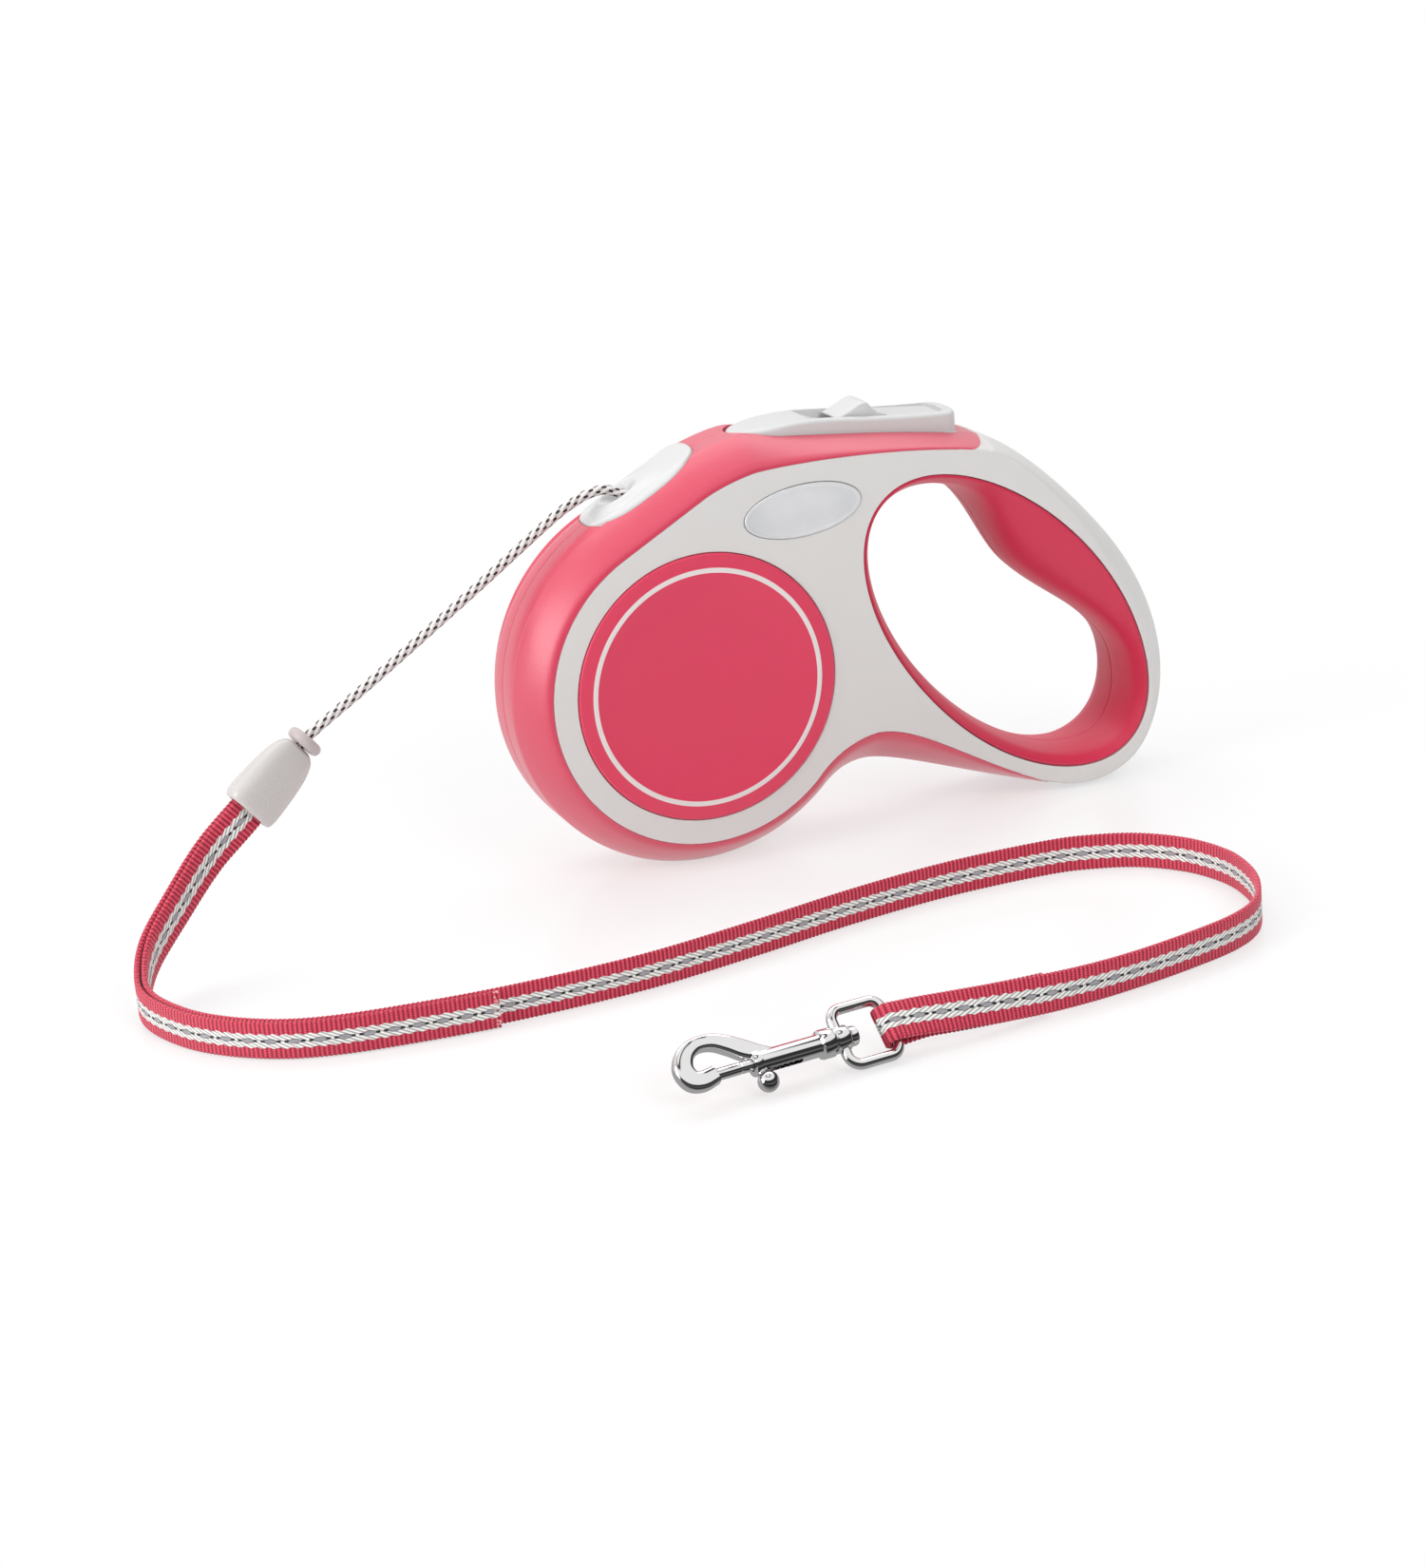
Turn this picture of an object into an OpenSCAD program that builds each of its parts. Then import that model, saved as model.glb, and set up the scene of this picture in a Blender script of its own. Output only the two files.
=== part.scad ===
// Retractable cord leash. Millimetres, +Z up, floor at z = 0.
// X runs along the case with the cord leaving towards -X, and Y is its thickness.

/* [Case] */
// radius of the round body at the middle plane
body_r = 42.2; // [41.6:0.2:43]
// half thickness, from the middle plane to the flat of a face
half_t = 15; // [14.8:0.1:15.6]
// wall of the moulded pieces
wall = 2; // [1.8:0.1:2.2]
// thickness of the face plates
plate_t = 2.2; // [2:0.1:2.4]
// width of the coloured rim beside a face
rim_w = 6.4; // [6:0.1:6.8]
// width of the rim at the web between body and handle
web_w = 8.2; // [7.6:0.1:8.6]
// how much narrower the rim is half way along the button
rim_dip = 1.3; // [1:0.1:1.5]
// width of the rim at its rear end under the button
tongue_w = 2.4; // [2.2:0.1:2.8]
// width of the rim at its rear end under the web
heel_w = 1.4; // [1.2:0.1:1.8]
// how far the rim's ledge reaches under a face plate
ledge_w = 2; // [1.5:0.1:2.2]
// angle at which the straight nose leaves the round body
nose_angle = 118; // [117:0.5:119]
// length of the straight nose
nose_len = 28; // [27:0.5:29]
// crest of the top line, ahead of the drum axis
crest_x = 17; // [16:0.5:18]
// crest of the top line, above the top end of the hand opening
crest_up = 17.7; // [17.3:0.1:18.1]
// top of the web, ahead of the drum axis
web_x = 39.5; // [39:0.5:40.5]
// top of the web, above the floor
web_z = 15.8; // [15.4:0.2:16.4]
// gap between pieces that are set into each other
seam = 0.15; // [0.1:0.05:0.2]

/* [Hand loop] */
// middle of the hand loop, behind the drum axis
handle_x = 77; // [76.6:0.2:78]
// long half axis of the loop's outside
handle_a = 48; // [47.6:0.2:49]
// short half axis of the loop's outside
handle_b = 30.6; // [30.4:0.2:31.6]
// lean of the loop's long axis
handle_tilt = 48.5; // [47.5:0.5:49.5]
// how much shorter the hand opening's long half axis is than the loop's
loop_end_w = 3.5; // [3.2:0.1:3.8]
// how much shorter the hand opening's short half axis is than the loop's
loop_side_w = 5.7; // [5.5:0.1:6]
// opening's middle behind the loop's middle
hole_dx = -3.4; // [-3.6:0.1:-3.2]
// opening's middle above the loop's middle
hole_dz = 2.1; // [1.9:0.1:2.3]
// how far the soft lining stands into the opening
grip_lip = 4; // [3.4:0.2:4.6]
// how much less it stands in at the lower end
grip_thin = 2.2; // [1.8:0.1:2.4]
// extra swell of the lining in the palm
grip_swell = 9.5; // [8:0.5:10]
// flange of the lining behind the face
grip_flange = 1; // [0.8:0.1:1.1]

/* [Round cover and badge] */
// radius of the round cover
cover_r = 30; // [29:0.5:30.5]
// thickness of the round cover
cover_t = 1.6; // [1.4:0.1:1.8]
// how far the cover stands above the face
cover_proud = 0.4; // [0.3:0.1:0.5]
// width of the ledge that the cover sits on
cover_ledge = 3.5; // [3:0.5:4]
// radius of the cover's hub
hub_r = 7.5; // [7:0.5:8]
// long half axis of the oval badge
badge_a = 13.8; // [13:0.2:14]
// short half axis of the oval badge
badge_b = 5.7; // [5.3:0.1:5.9]
// thickness of the badge
badge_t = 1; // [0.9:0.1:1.2]
// depth of the badge's seat in the face
badge_seat = 0.7; // [0.6:0.1:0.8]

/* [Reel] */
// radius of the axle
axle_r = 4; // [3.6:0.2:4.4]
// running clearance of a shaft in its bore
run_gap = 0.05; // [0.03:0.01:0.08]
// radius of the drum that the cord winds on
drum_r = 19; // [18:0.5:20]
// how far the plain flange stands above the wound cord
flange_lip = 1.8; // [1.8:0.2:2.6]
// width of the cord's chamber
chamber_w = 9; // [8.6:0.2:9.2]
// chamber's left wall, left of the middle plane
chamber_y = 4; // [3.8:0.1:4.1]
// thickness of the ratchet flange
ratchet_t = 2.6; // [2.4:0.1:2.7]
// room between the ratchet teeth and the rim's wall
tooth_room = 3.8; // [3.6:0.1:4.2]
// depth of the ratchet teeth
tooth_h = 3; // [2.8:0.1:3.1]
// number of ratchet teeth
teeth = 24; // [24]
// how much smaller the plain flange is than the teeth
flange_step = 2.4; // [2:0.2:3]
// thickness of the plain flange
flange_t = 1.5; // [1.3:0.1:1.6]
// how much smaller the spring cup is than the flange
cup_step = 3; // [2.6:0.2:4]
// wall of the spring cup
cup_wall = 2; // [1.6:0.2:2.2]
// depth of the spring cup
cup_d = 4.8; // [4.4:0.1:4.9]
// thickness of the spring cover
lid_t = 1; // [0.8:0.1:1.1]
// thickness of the power spring's strip
strip_t = 0.5; // [0.4:0.05:0.6]
// turns of the power spring
strip_turns = 7; // [6:1:8]

/* [Brake] */
// radius of the button's pin
pin_r = 1.25; // [1.1:0.05:1.35]
// half width of the button
button_w = 6.7; // [6.5:0.1:6.8]
// gap around the button in its slot
button_gap = 0.35; // [0.3:0.05:0.45]
// width of the lock slider's base
slider_w = 10; // [9.4:0.2:10.4]
// length of the lock slider's base
slider_l = 12; // [11:0.5:12]
// travel of the lock slider
slider_travel = 5; // [4:0.5:5]
// clearance of the lock slider in its channel
slider_gap = 0.15; // [0.1:0.05:0.2]
// radius of the button spring's coil
coil_r = 1.9; // [1.7:0.1:2.1]
// radius of the button spring's wire
wire_r = 0.35; // [0.3:0.05:0.4]

/* [Screws] */
// radius of a screw's shank
shank_r = 1.1; // [1:0.05:1.15]
// radius of a screw's head
head_r = 2.1; // [1.9:0.1:2.1]
// height of a screw's head
head_h = 1.8; // [1.5:0.1:2]
// reach of a screw to each side of the middle plane
screw_reach = 9; // [8.5:0.5:9.5]
// radius of the screw posts
post_r = 3.4; // [3.2:0.1:3.5]

/* [Nozzle and cord] */
// half length of the nozzle plate
nozzle_a = 14.4; // [14:0.2:14.8]
// half width of the nozzle plate
nozzle_b = 8.2; // [7.8:0.1:8.6]
// thickness of the nozzle plate
nozzle_t = 1.8; // [1.6:0.1:2]
// lean of the eyelet's bore from the nozzle's normal
eyelet_lean = 37; // [36:0.5:38]
// outer radius of the eyelet
eyelet_r = 4; // [3.6:0.2:4.2]
// radius of the cord
cord_r = 1.1; // [1:0.05:1.2]
// gap around the cord in its holes
cord_gap = 0.4; // [0.35:0.05:0.5]

/* [Clip and webbing] */
// length of the clip
clip_l = 17.5; // [17:0.5:18]
// half width of the clip at its mouth
clip_b = 6.2; // [6:0.1:6.6]
// half thickness of the clip
clip_t = 4; // [3.9:0.1:4.3]
// radius of the pin in the clip
clip_pin_r = 1.1; // [1:0.05:1.15]
// radius of the cord stop
stop_r = 4; // [3.6:0.2:4.4]
// width of the webbing
web_b = 8; // [7.6:0.2:8.2]
// thickness of the webbing
web_t = 1.2; // [1.1:0.1:1.3]
// distance between the middles of two layers
layer = 1.55; // [1.5:0.05:1.7]

/* [Snap hook] */
// radius of the swivel ring's wire
ring_wire = 1.1; // [1:0.05:1.15]
// half width of the ring, to the middle of its wire
ring_b = 6; // [5.8:0.1:6.3]
// length of the ring, to the middle of its wire
ring_l = 11; // [10.6:0.2:11]
// radius of the hook's barrel
barrel_r = 2.2; // [2.1:0.05:2.4]
// radius of the bolt
bolt_r = 1.2; // [1.1:0.05:1.25]
// travel of the bolt
bolt_travel = 7; // [6:0.5:7]
// radius of the rivet that the ring turns on
rivet_r = 1.25; // [1.15:0.05:1.3]
// radius of the thumb ball
ball_r = 2.1; // [1.9:0.1:2.1]

/* [Hidden] */
$fn = 48;

// colours
RED = [0.80, 0.16, 0.27];
PALE = [0.82, 0.82, 0.81];
LIGHT = [0.90, 0.90, 0.90];
STEEL = [0.62, 0.63, 0.65];
DARK = [0.25, 0.25, 0.27];

function mix(a, b, t) = a + (b - a) * t;
function ease(t) = t * t * (3 - 2 * t);
function unit(v) = v / norm(v);
function hermite(p, m, q, n, t) = p * (2 * t * t * t - 3 * t * t + 1)
  + m * (t * t * t - 2 * t * t + t) + q * (3 * t * t - 2 * t * t * t) + n * (t * t * t - t * t);
function ellipse(a, b, n) = [for (i = [0:n - 1]) [a * cos(360 * i / n), b * sin(360 * i / n)]];
// an oval with fuller ends
function full(v) = sign(v) * pow(abs(v), 0.72);
function pill(a, b, n) = [for (i = [0:n - 1]) [a * full(cos(360 * i / n)), b * full(sin(360 * i / n))]];

// the hand loop: an ellipse that leans forward and stands on the floor
long_dir = [cos(handle_tilt), -sin(handle_tilt)];
wide_dir = [sin(handle_tilt), cos(handle_tilt)];
handle_h = norm([handle_a * sin(handle_tilt), handle_b * cos(handle_tilt)]);
handle_l = norm([handle_a * cos(handle_tilt), handle_b * sin(handle_tilt)]);
handle_c = [handle_x, handle_h - body_r];
hole_a = handle_a - loop_end_w;
hole_b = handle_b - loop_side_w;
hole_c = handle_c + [hole_dx, hole_dz];
function oval(c, a, b, t) = c + a * cos(t) * long_dir + b * sin(t) * wide_dir;
function oval_dir(a, b, t) = unit(a * sin(t) * long_dir - b * cos(t) * wide_dir);

hole_tip = oval(hole_c, hole_a, hole_b, 180);

// the drum axis, so that the case is centred on the origin
drum_x = -(handle_x + handle_l - body_r) / 2;

// outline of the case in the middle plane, from the drum axis, clockwise seen from -Y
loop_start = 80;
loop_end = -40;
web_join = -47;
nose_dir = [sin(nose_angle), -cos(nose_angle)];
nose_out = [cos(nose_angle), sin(nose_angle)];
nose_start = body_r * nose_out;
nose_end = nose_start + 0.8 * nose_len * nose_dir;
crest_z = hole_tip[1] + crest_up;
crest = [crest_x, crest_z];
crest_dir = unit([1, -0.15]);
knee = crest + [55.4, -8.8];
knee_dir = unit([1, -0.36]);
top_end = oval(handle_c, handle_a, handle_b, loop_start);
top_dir = oval_dir(handle_a, handle_b, loop_start);
heel = oval(handle_c, handle_a, handle_b, loop_end);
heel_dir = oval_dir(handle_a, handle_b, loop_end);
apex = [web_x, web_z - body_r];
join_p = body_r * [cos(web_join), sin(web_join)];
join_dir = [sin(web_join), -cos(web_join)];

web_a = [for (i = [0:7]) hermite(heel, 45 * heel_dir, apex, [-25, 0], i / 8)];
web_c = [for (i = [0:4]) hermite(apex, [-12, 0], join_p, 12 * join_dir, i / 5)];
arc_turn = 360 + web_join - nose_angle;
arc = [for (i = [0:33]) let (a = web_join - i * arc_turn / 34) body_r * [cos(a), sin(a)]];
nose = [for (i = [0:3]) mix(nose_start, nose_end, i / 4)];
brow = [for (i = [0:4]) hermite(nose_end, 14 * nose_dir, crest, 10 * crest_dir, i / 5)];
top_a = [for (i = [0:10]) hermite(crest, 36 * crest_dir, knee, 30 * knee_dir, i / 10)];
top_b = [for (i = [0:7]) hermite(knee, 32 * knee_dir, top_end, 36 * top_dir, i / 8)];
loop = [for (i = [0:17]) oval(handle_c, handle_a, handle_b, mix(loop_start, loop_end, i / 17))];

rim_path = concat(web_a, web_c, arc, nose, brow, top_a);
rim_width = concat([for (i = [0:7]) mix(heel_w, web_w, ease(i / 8))],
  [for (i = [0:4]) mix(web_w, rim_w, i / 5)], [for (p = arc) rim_w],
  [for (p = nose) rim_w], [for (p = brow) rim_w],
  [for (i = [0:10]) mix(rim_w, tongue_w, i / 10) - rim_dip * sin(18 * i)]);
loop_path = concat(top_b, loop);

// inward normal at each station of a path
function inward(d) = [d[1], -d[0]];
function path_dir(p, i, first, last) = i == 0 ? first : i == len(p) - 1 ? last : unit(p[i + 1] - p[i - 1]);
rim_in = [for (i = [0:len(rim_path) - 1]) inward(path_dir(rim_path, i, heel_dir, knee_dir))];
loop_in = [for (i = [0:len(loop_path) - 1]) inward(path_dir(loop_path, i, knee_dir, heel_dir))];

// distance from a point of the outline along its normal to the hand opening
function local(p) = [p * long_dir / hole_a, p * wide_dir / hole_b];
function reach(p, d) = let (q = local(p - hole_c), e = local(d), k = q * e)
  (-k - sqrt(k * k - (e * e) * (q * q - 1))) / (e * e);
loop_reach = [for (i = [0:len(loop_path) - 1]) reach(loop_path[i], loop_in[i])];
last = len(loop_path) - 1;
function loop_round(i) =
  let (full = min(rim_w, loop_reach[i] - 0.4), a = min(1, i / 10), b = min(1, (last - i) / 11))
  mix(heel_w, mix(tongue_w, full, ease(a)), ease(b));

// rounded shoulder: share of the rim's width and share of the half thickness
SHOULDER = [[0, 0], [0, 0.4], [0.2, 0.62], [0.4, 0.76], [0.66, 0.89], [0.88, 0.97], [1, 1]];

// a ring of points from section points [inset, y] at one station
function station(p, n, sec) = [for (s = sec) [p[0] + n[0] * s[0], s[1], p[1] + n[1] * s[0]]];

// solid through a row of rings, open with two end faces or closed on itself
module loft(rings, closed = false) {
  n = len(rings);
  m = len(rings[0]);
  pts = [for (r = rings) each r];
  sides = [for (i = [0:n - (closed ? 1 : 2)], j = [0:m - 1])
    let (k = (j + 1) % m, next = (i + 1) % n)
    let (a = i * m + j, b = i * m + k, c = next * m + k, d = next * m + j)
    each [[a, b, c], [a, c, d]]];
  ends = closed ? [] : [[for (j = [0:m - 1]) m - 1 - j], [for (j = [0:m - 1]) (n - 1) * m + j]];
  polyhedron(points = pts, faces = concat(sides, ends), convexity = 8);
}

// everything that is placed from the drum axis
module in_case() translate([drum_x, 0, body_r]) children();
// a flat shape in the XZ plane, from y0 to y1
module slab(y0, y1) translate([0, y1, 0]) rotate([90, 0, 0]) linear_extrude(height = y1 - y0) children();
// a rod along Y
module rod(x, z, r, y0, y1) translate([x, y1, z]) rotate([90, 0, 0]) cylinder(h = y1 - y0, r = r);
// placed on the straight nose, z along its outward normal
nose_mid = nose_start + nose_dir * nose_len / 2;
module in_nose() translate([nose_mid[0], 0, nose_mid[1]]) rotate([0, 90 - nose_angle, 0]) children();

// case shells, made for +Y and mirrored
inner_y = half_t - plate_t;
face_in = [for (i = [0:len(rim_path) - 1]) rim_path[i] + rim_in[i] * (rim_width[i] + seam)];
tie_a = loop_path[4] + loop_in[4] * loop_reach[4] * 0.8;
tie_b = loop_path[last - 4] + loop_in[last - 4] * loop_reach[last - 4] * 0.8;
module face_2d() polygon(concat(face_in, [tie_a, hole_c, tie_b]));
module hole_2d() polygon([for (i = [0:71]) oval(hole_c, hole_a, hole_b, 5 * i)]);

loop_face = half_t - 0.2;
function loop_sec(i) = let (w = loop_round(i), l = loop_reach[i]) concat(
  [for (s = SHOULDER) [s[0] * w, s[1] * loop_face]],
  [[l, loop_face], [l, inner_y - 0.2], [l - 1.6, inner_y - 0.7],
    [wall + 0.35 * w, half_t * 0.62], [wall + 0.12 * w, half_t * 0.4], [wall, 0]]);
module loop_half() loft([for (i = [0:last]) station(loop_path[i], loop_in[i], loop_sec(i))]);

// screw posts: neck, under the badge, rear end of the loop
rear_post = (oval(handle_c, handle_a, handle_b, 0) + oval(hole_c, hole_a, hole_b, 0)) / 2;
post_top = inner_y + 0.6;
// [x, z, radius, top of the post, underside of the screw's head]
badge_c = hole_tip + [-18.9, 1.1];
badge_turn = 3;
neck_post = apex + [4.5, 14.9];
badge_post = badge_c + [10.3, -1.6];
POSTS = [[neck_post[0], neck_post[1], post_r, post_top, screw_reach],
  [badge_post[0], badge_post[1], post_r, post_top, screw_reach],
  [rear_post[0], rear_post[1], post_r - 1, 5, 5]];
// [x, z, length, thickness] of the shelf under the button spring
shelf = [hole_tip[0] - 4.1, hole_tip[1] + 3.5, 6.4, 1];

module badge_2d(gap) translate(badge_c) rotate(badge_turn) polygon(ellipse(badge_a + gap, badge_b + gap, 48));
cover_y = half_t + cover_proud - cover_t;

module shell_half() {
  difference() {
    union() {
      slab(inner_y, half_t) difference() {
        face_2d();
        hole_2d();
      }
      loop_half();
      for (p = POSTS) rod(p[0], p[1], p[2], 0, p[3]);
      translate([shelf[0], 0, shelf[1]]) cube([shelf[2], post_top, shelf[3]]);
    }
    rod(0, 0, cover_r + seam, cover_y, half_t + 5);
    rod(0, 0, cover_r - cover_ledge, 0, half_t + 5);
    slab(half_t - badge_seat, half_t + 5) badge_2d(seam);
  }
}
module left_shell() color(PALE) in_case() difference() {
  mirror([0, 1, 0]) shell_half();
  for (p = POSTS) rod(p[0], p[1], shank_r + run_gap, -p[4] - 1, 1);
}
module right_shell() color(PALE) in_case() difference() {
  shell_half();
  for (p = POSTS) {
    rod(p[0], p[1], shank_r + run_gap, -1, p[4] + 1);
    rod(p[0], p[1], head_r + seam, p[4], half_t + 5);
  }
}
module case_screws() color(STEEL) in_case() for (p = POSTS) {
  rod(p[0], p[1], shank_r, -p[4], p[4]);
  difference() {
    rod(p[0], p[1], head_r, p[4], p[4] + head_h);
    rod(p[0], p[1], 0.7, p[4] + head_h - 1, p[4] + head_h + 1);
  }
}

// coloured rim
function rim_sec(w) = let (l = max(w, wall) + ledge_w) concat(
  [for (s = SHOULDER) [s[0] * w, s[1] * half_t]],
  [[w, inner_y], [l, inner_y], [l, inner_y - 1.1],
    [wall + 0.45 * w, half_t * 0.7], [wall + 0.2 * w, half_t * 0.5], [wall, 0]]);
pivot = crest + [1.5, -4];
lug_r = 2.6;
lug_y = [7.3, 11];

// button's outline seen from above, half width at each x
button_x = [crest_x - 2.6, crest_x + 50.8];
button_nose = 11;
button_tail = 3.4;
function button_plan(gap) =
  let (w = button_w + gap, f = button_nose + gap, r = button_tail + gap)
  let (xf = button_x[0] + button_nose, xr = button_x[1] - button_tail)
  concat([for (i = [0:12]) [xf - f * sin(15 * i / 2), w * cos(15 * i / 2)]],
    [for (i = [0:12]) [xf - f * cos(15 * i / 2), -w * sin(15 * i / 2)]],
    [for (i = [0:8]) [xr + r * pow(sin(90 * i / 8), 0.7), -w * pow(cos(90 * i / 8), 0.7)]],
    [for (i = [1:8]) [xr + r * pow(cos(90 * i / 8), 0.7), w * pow(sin(90 * i / 8), 0.7)]]);
module button_prism(gap, z0, z1)
  translate([0, 0, z0]) linear_extrude(height = z1 - z0) polygon(button_plan(gap));
module nozzle_prism(gap)
  translate([0, 0, -12]) linear_extrude(height = 20) polygon(pill(nozzle_a + gap, nozzle_b + gap, 48));

module rim_half() difference() {
  union() {
    loft([for (i = [0:len(rim_path) - 1]) station(rim_path[i], rim_in[i], rim_sec(rim_width[i]))]);
    rod(pivot[0], pivot[1], lug_r, lug_y[0], lug_y[1]);
  }
  button_prism(button_gap, crest_z - 12.2, crest_z + 10);
  in_nose() nozzle_prism(seam);
  rod(pivot[0], pivot[1], pin_r + run_gap, 0, 10.6);
}
module left_rim() color(RED) in_case() mirror([0, 1, 0]) rim_half();
module right_rim() color(RED) in_case() rim_half();

// soft lining of the hand opening
function palm(t) = let (k = t - 95, h = k > 0 ? 42 : 56) abs(k) < h ? pow(cos(90 * k / h), 2) : 0;
function stand_in(t) = grip_lip - grip_thin * pow(max(0, cos(t + 10)), 2) + grip_swell * palm(t);
function grip_sec(s) = [
  [-grip_flange, 0], [-grip_flange, inner_y - 1.3], [seam, inner_y - 1.3], [seam, half_t - 0.5],
  [1, half_t - 0.4], [0.5 * s, half_t * 0.88], [0.8 * s, half_t * 0.64], [0.95 * s, half_t * 0.34], [s, 0]];
grip_n = 60;
module grip_half() loft([for (i = [0:grip_n - 1]) let (t = 360 - 360 * i / grip_n)
  station(oval(hole_c, hole_a, hole_b, t), inward(oval_dir(hole_a, hole_b, t)),
    grip_sec(stand_in(t % 360)))], true);
module left_grip() color(RED) in_case() mirror([0, 1, 0]) grip_half();
module right_grip() color(RED) in_case() grip_half();

// round covers and badges
module cover_half(hub_y) difference() {
  union() {
    rotate([-90, 0, 0]) rotate_extrude() polygon([[0, cover_y], [cover_r, cover_y],
      [cover_r, cover_y + cover_t - 0.5], [cover_r - 0.5, cover_y + cover_t], [0, cover_y + cover_t]]);
    rod(0, 0, hub_r, hub_y, cover_y + 0.5);
  }
  rod(0, 0, axle_r + run_gap, 0, cover_y + 0.6);
}
axle_y = cover_y + 0.5;
lid_y = chamber_w - chamber_y + flange_t + cup_d + lid_t;
module left_cover() color(RED) in_case() mirror([0, 1, 0]) cover_half(chamber_y + ratchet_t + 0.8);
module right_cover() color(RED) in_case() cover_half(lid_y + 0.4);
module badge_half() slab(half_t - badge_seat, half_t - badge_seat + badge_t) badge_2d(0);
module left_badge() color(LIGHT) in_case() mirror([0, 1, 0]) badge_half();
module right_badge() color(LIGHT) in_case() badge_half();

// nozzle
eyelet_x = -3.5;
skin = [for (y = [-11, -9, -5, 0, 5, 9, 11]) let (k = abs(y) / half_t)
  [y, 0.3 - rim_w * lookup(k, [for (s = SHOULDER) [s[1], s[0]]])]];
module at_eyelet() translate([eyelet_x, 0, 0]) rotate([0, -eyelet_lean, 0]) children();
module nozzle() color(LIGHT) in_case() in_nose() difference() {
  union() {
    intersection() {
      rotate([90, 0, 90]) translate([0, 0, -20]) linear_extrude(height = 40)
        polygon(concat(skin, [for (i = [6:-1:0]) skin[i] - [0, nozzle_t]]));
      nozzle_prism(0);
    }
    at_eyelet() translate([0, 0, -5]) cylinder(h = 6.2, r = eyelet_r);
  }
  at_eyelet() translate([0, 0, -20]) cylinder(h = 40, r = cord_r + cord_gap);
  at_eyelet() translate([0, 0, -0.8]) cylinder(h = 2.01, r1 = cord_r + cord_gap, r2 = eyelet_r - 0.5);
}

// reel, spring and axle
tooth_r = body_r - wall - tooth_room;
flange_r = tooth_r - flange_step;
wound_r = flange_r - flange_lip;
cup_r = flange_r - cup_step;
y_right = chamber_w - chamber_y;
y_cup = y_right + flange_t;
pawl_at = 38.64;
tooth_at = pawl_at + 11.5;
// [angle, radius] of one tooth's corners
TOOTH = [[-4.4, tooth_r - tooth_h], [-3, tooth_r], [3, tooth_r], [4.4, tooth_r - tooth_h]];
ratchet_pts = [for (i = [0:teeth - 1], k = TOOTH)
  let (a = tooth_at + 360 * i / teeth + k[0]) k[1] * [cos(a), sin(a)]];
module reel() color(DARK) in_case() difference() {
  union() {
    slab(-chamber_y - ratchet_t, -chamber_y) polygon(ratchet_pts);
    rod(0, 0, drum_r, -chamber_y - 0.5, y_right + 0.5);
    rod(0, 0, flange_r, y_right, y_cup);
    rod(0, 0, cup_r, y_cup - 0.5, y_cup + cup_d);
  }
  rod(0, 0, cup_r - cup_wall, y_cup, y_cup + cup_d + 1);
  rod(0, 0, axle_r + run_gap, -20, 20);
}
module spring_cover() color(DARK) in_case() difference() {
  rod(0, 0, cup_r, y_cup + cup_d, lid_y);
  rod(0, 0, hub_r, 0, 20);
}
strip_n = 20 * strip_turns;
strip_r0 = axle_r + 0.8;
strip_r1 = cup_r - cup_wall - strip_t - 0.4;
function strip_pt(i, off) =
  let (a = 360 * i / 20, r = mix(strip_r0, strip_r1, i / strip_n) + off) r * [cos(a), sin(a)];
module power_spring() color(STEEL) in_case() slab(y_cup + 0.3, y_cup + cup_d - 0.3)
  polygon(concat([[0.6, strip_t / 2], [strip_r0, strip_t / 2]], [for (i = [1:strip_n]) strip_pt(i, 0)],
    [for (i = [strip_n:-1:0]) strip_pt(i, strip_t)],
    [[strip_r0 + strip_t, -strip_t / 2], [0.6, -strip_t / 2]]));
module axle() color(STEEL) in_case() difference() {
  rod(0, 0, axle_r, -axle_y, axle_y);
  translate([0.3, y_cup + 0.1, -strip_t / 2 - 0.2]) cube([axle_r, cup_d, strip_t + 0.4]);
}
module wound_cord() color(LIGHT) in_case() difference() {
  rod(0, 0, wound_r, -chamber_y + 0.1, y_right - 0.1);
  rod(0, 0, drum_r + run_gap, -20, 20);
}

// brake button, pawl, slider, spring
// side view of the button, from the crest
BUTTON = [[-2.6, -0.6], [-1, -0.1], [1.5, 0.3], [7, 0.9], [13, 1.1], [19, 0.7], [31, -0.8], [41, -1.9],
  [49.4, -2.7], [50.8, -3.3], [50.8, -9.8], [31, -7.6], [19, -6.2], [7, -6.2], [0, -5.6], [-2.4, -2.7]];
slide_at = crest + [24.8, 0];
slide_turn = 7;
slider_x = -2.7;
spring_x = shelf[0] + shelf[2] / 2;
spring_z0 = shelf[1] + shelf[3] + 0.05;
spring_z1 = crest_z - 7.35;
module in_slide() translate([slide_at[0], 0, slide_at[1]]) rotate([0, slide_turn, 0]) children();
module brake_button() color(LIGHT) in_case() difference() {
  intersection() {
    union() {
      slab(-10, 10) translate(crest) polygon(BUTTON);
      rod(pivot[0], pivot[1], lug_r, -10, 10);
    }
    button_prism(0, crest_z - 20, crest_z + 20);
  }
  in_slide() translate([slider_x - slider_travel - slider_gap, -slider_w / 2 - slider_gap, -2.2])
    cube([slider_l + slider_travel + 2 * slider_gap, slider_w + 2 * slider_gap, 8]);
  rod(pivot[0], pivot[1], pin_r + run_gap, -20, 20);
}
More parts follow.
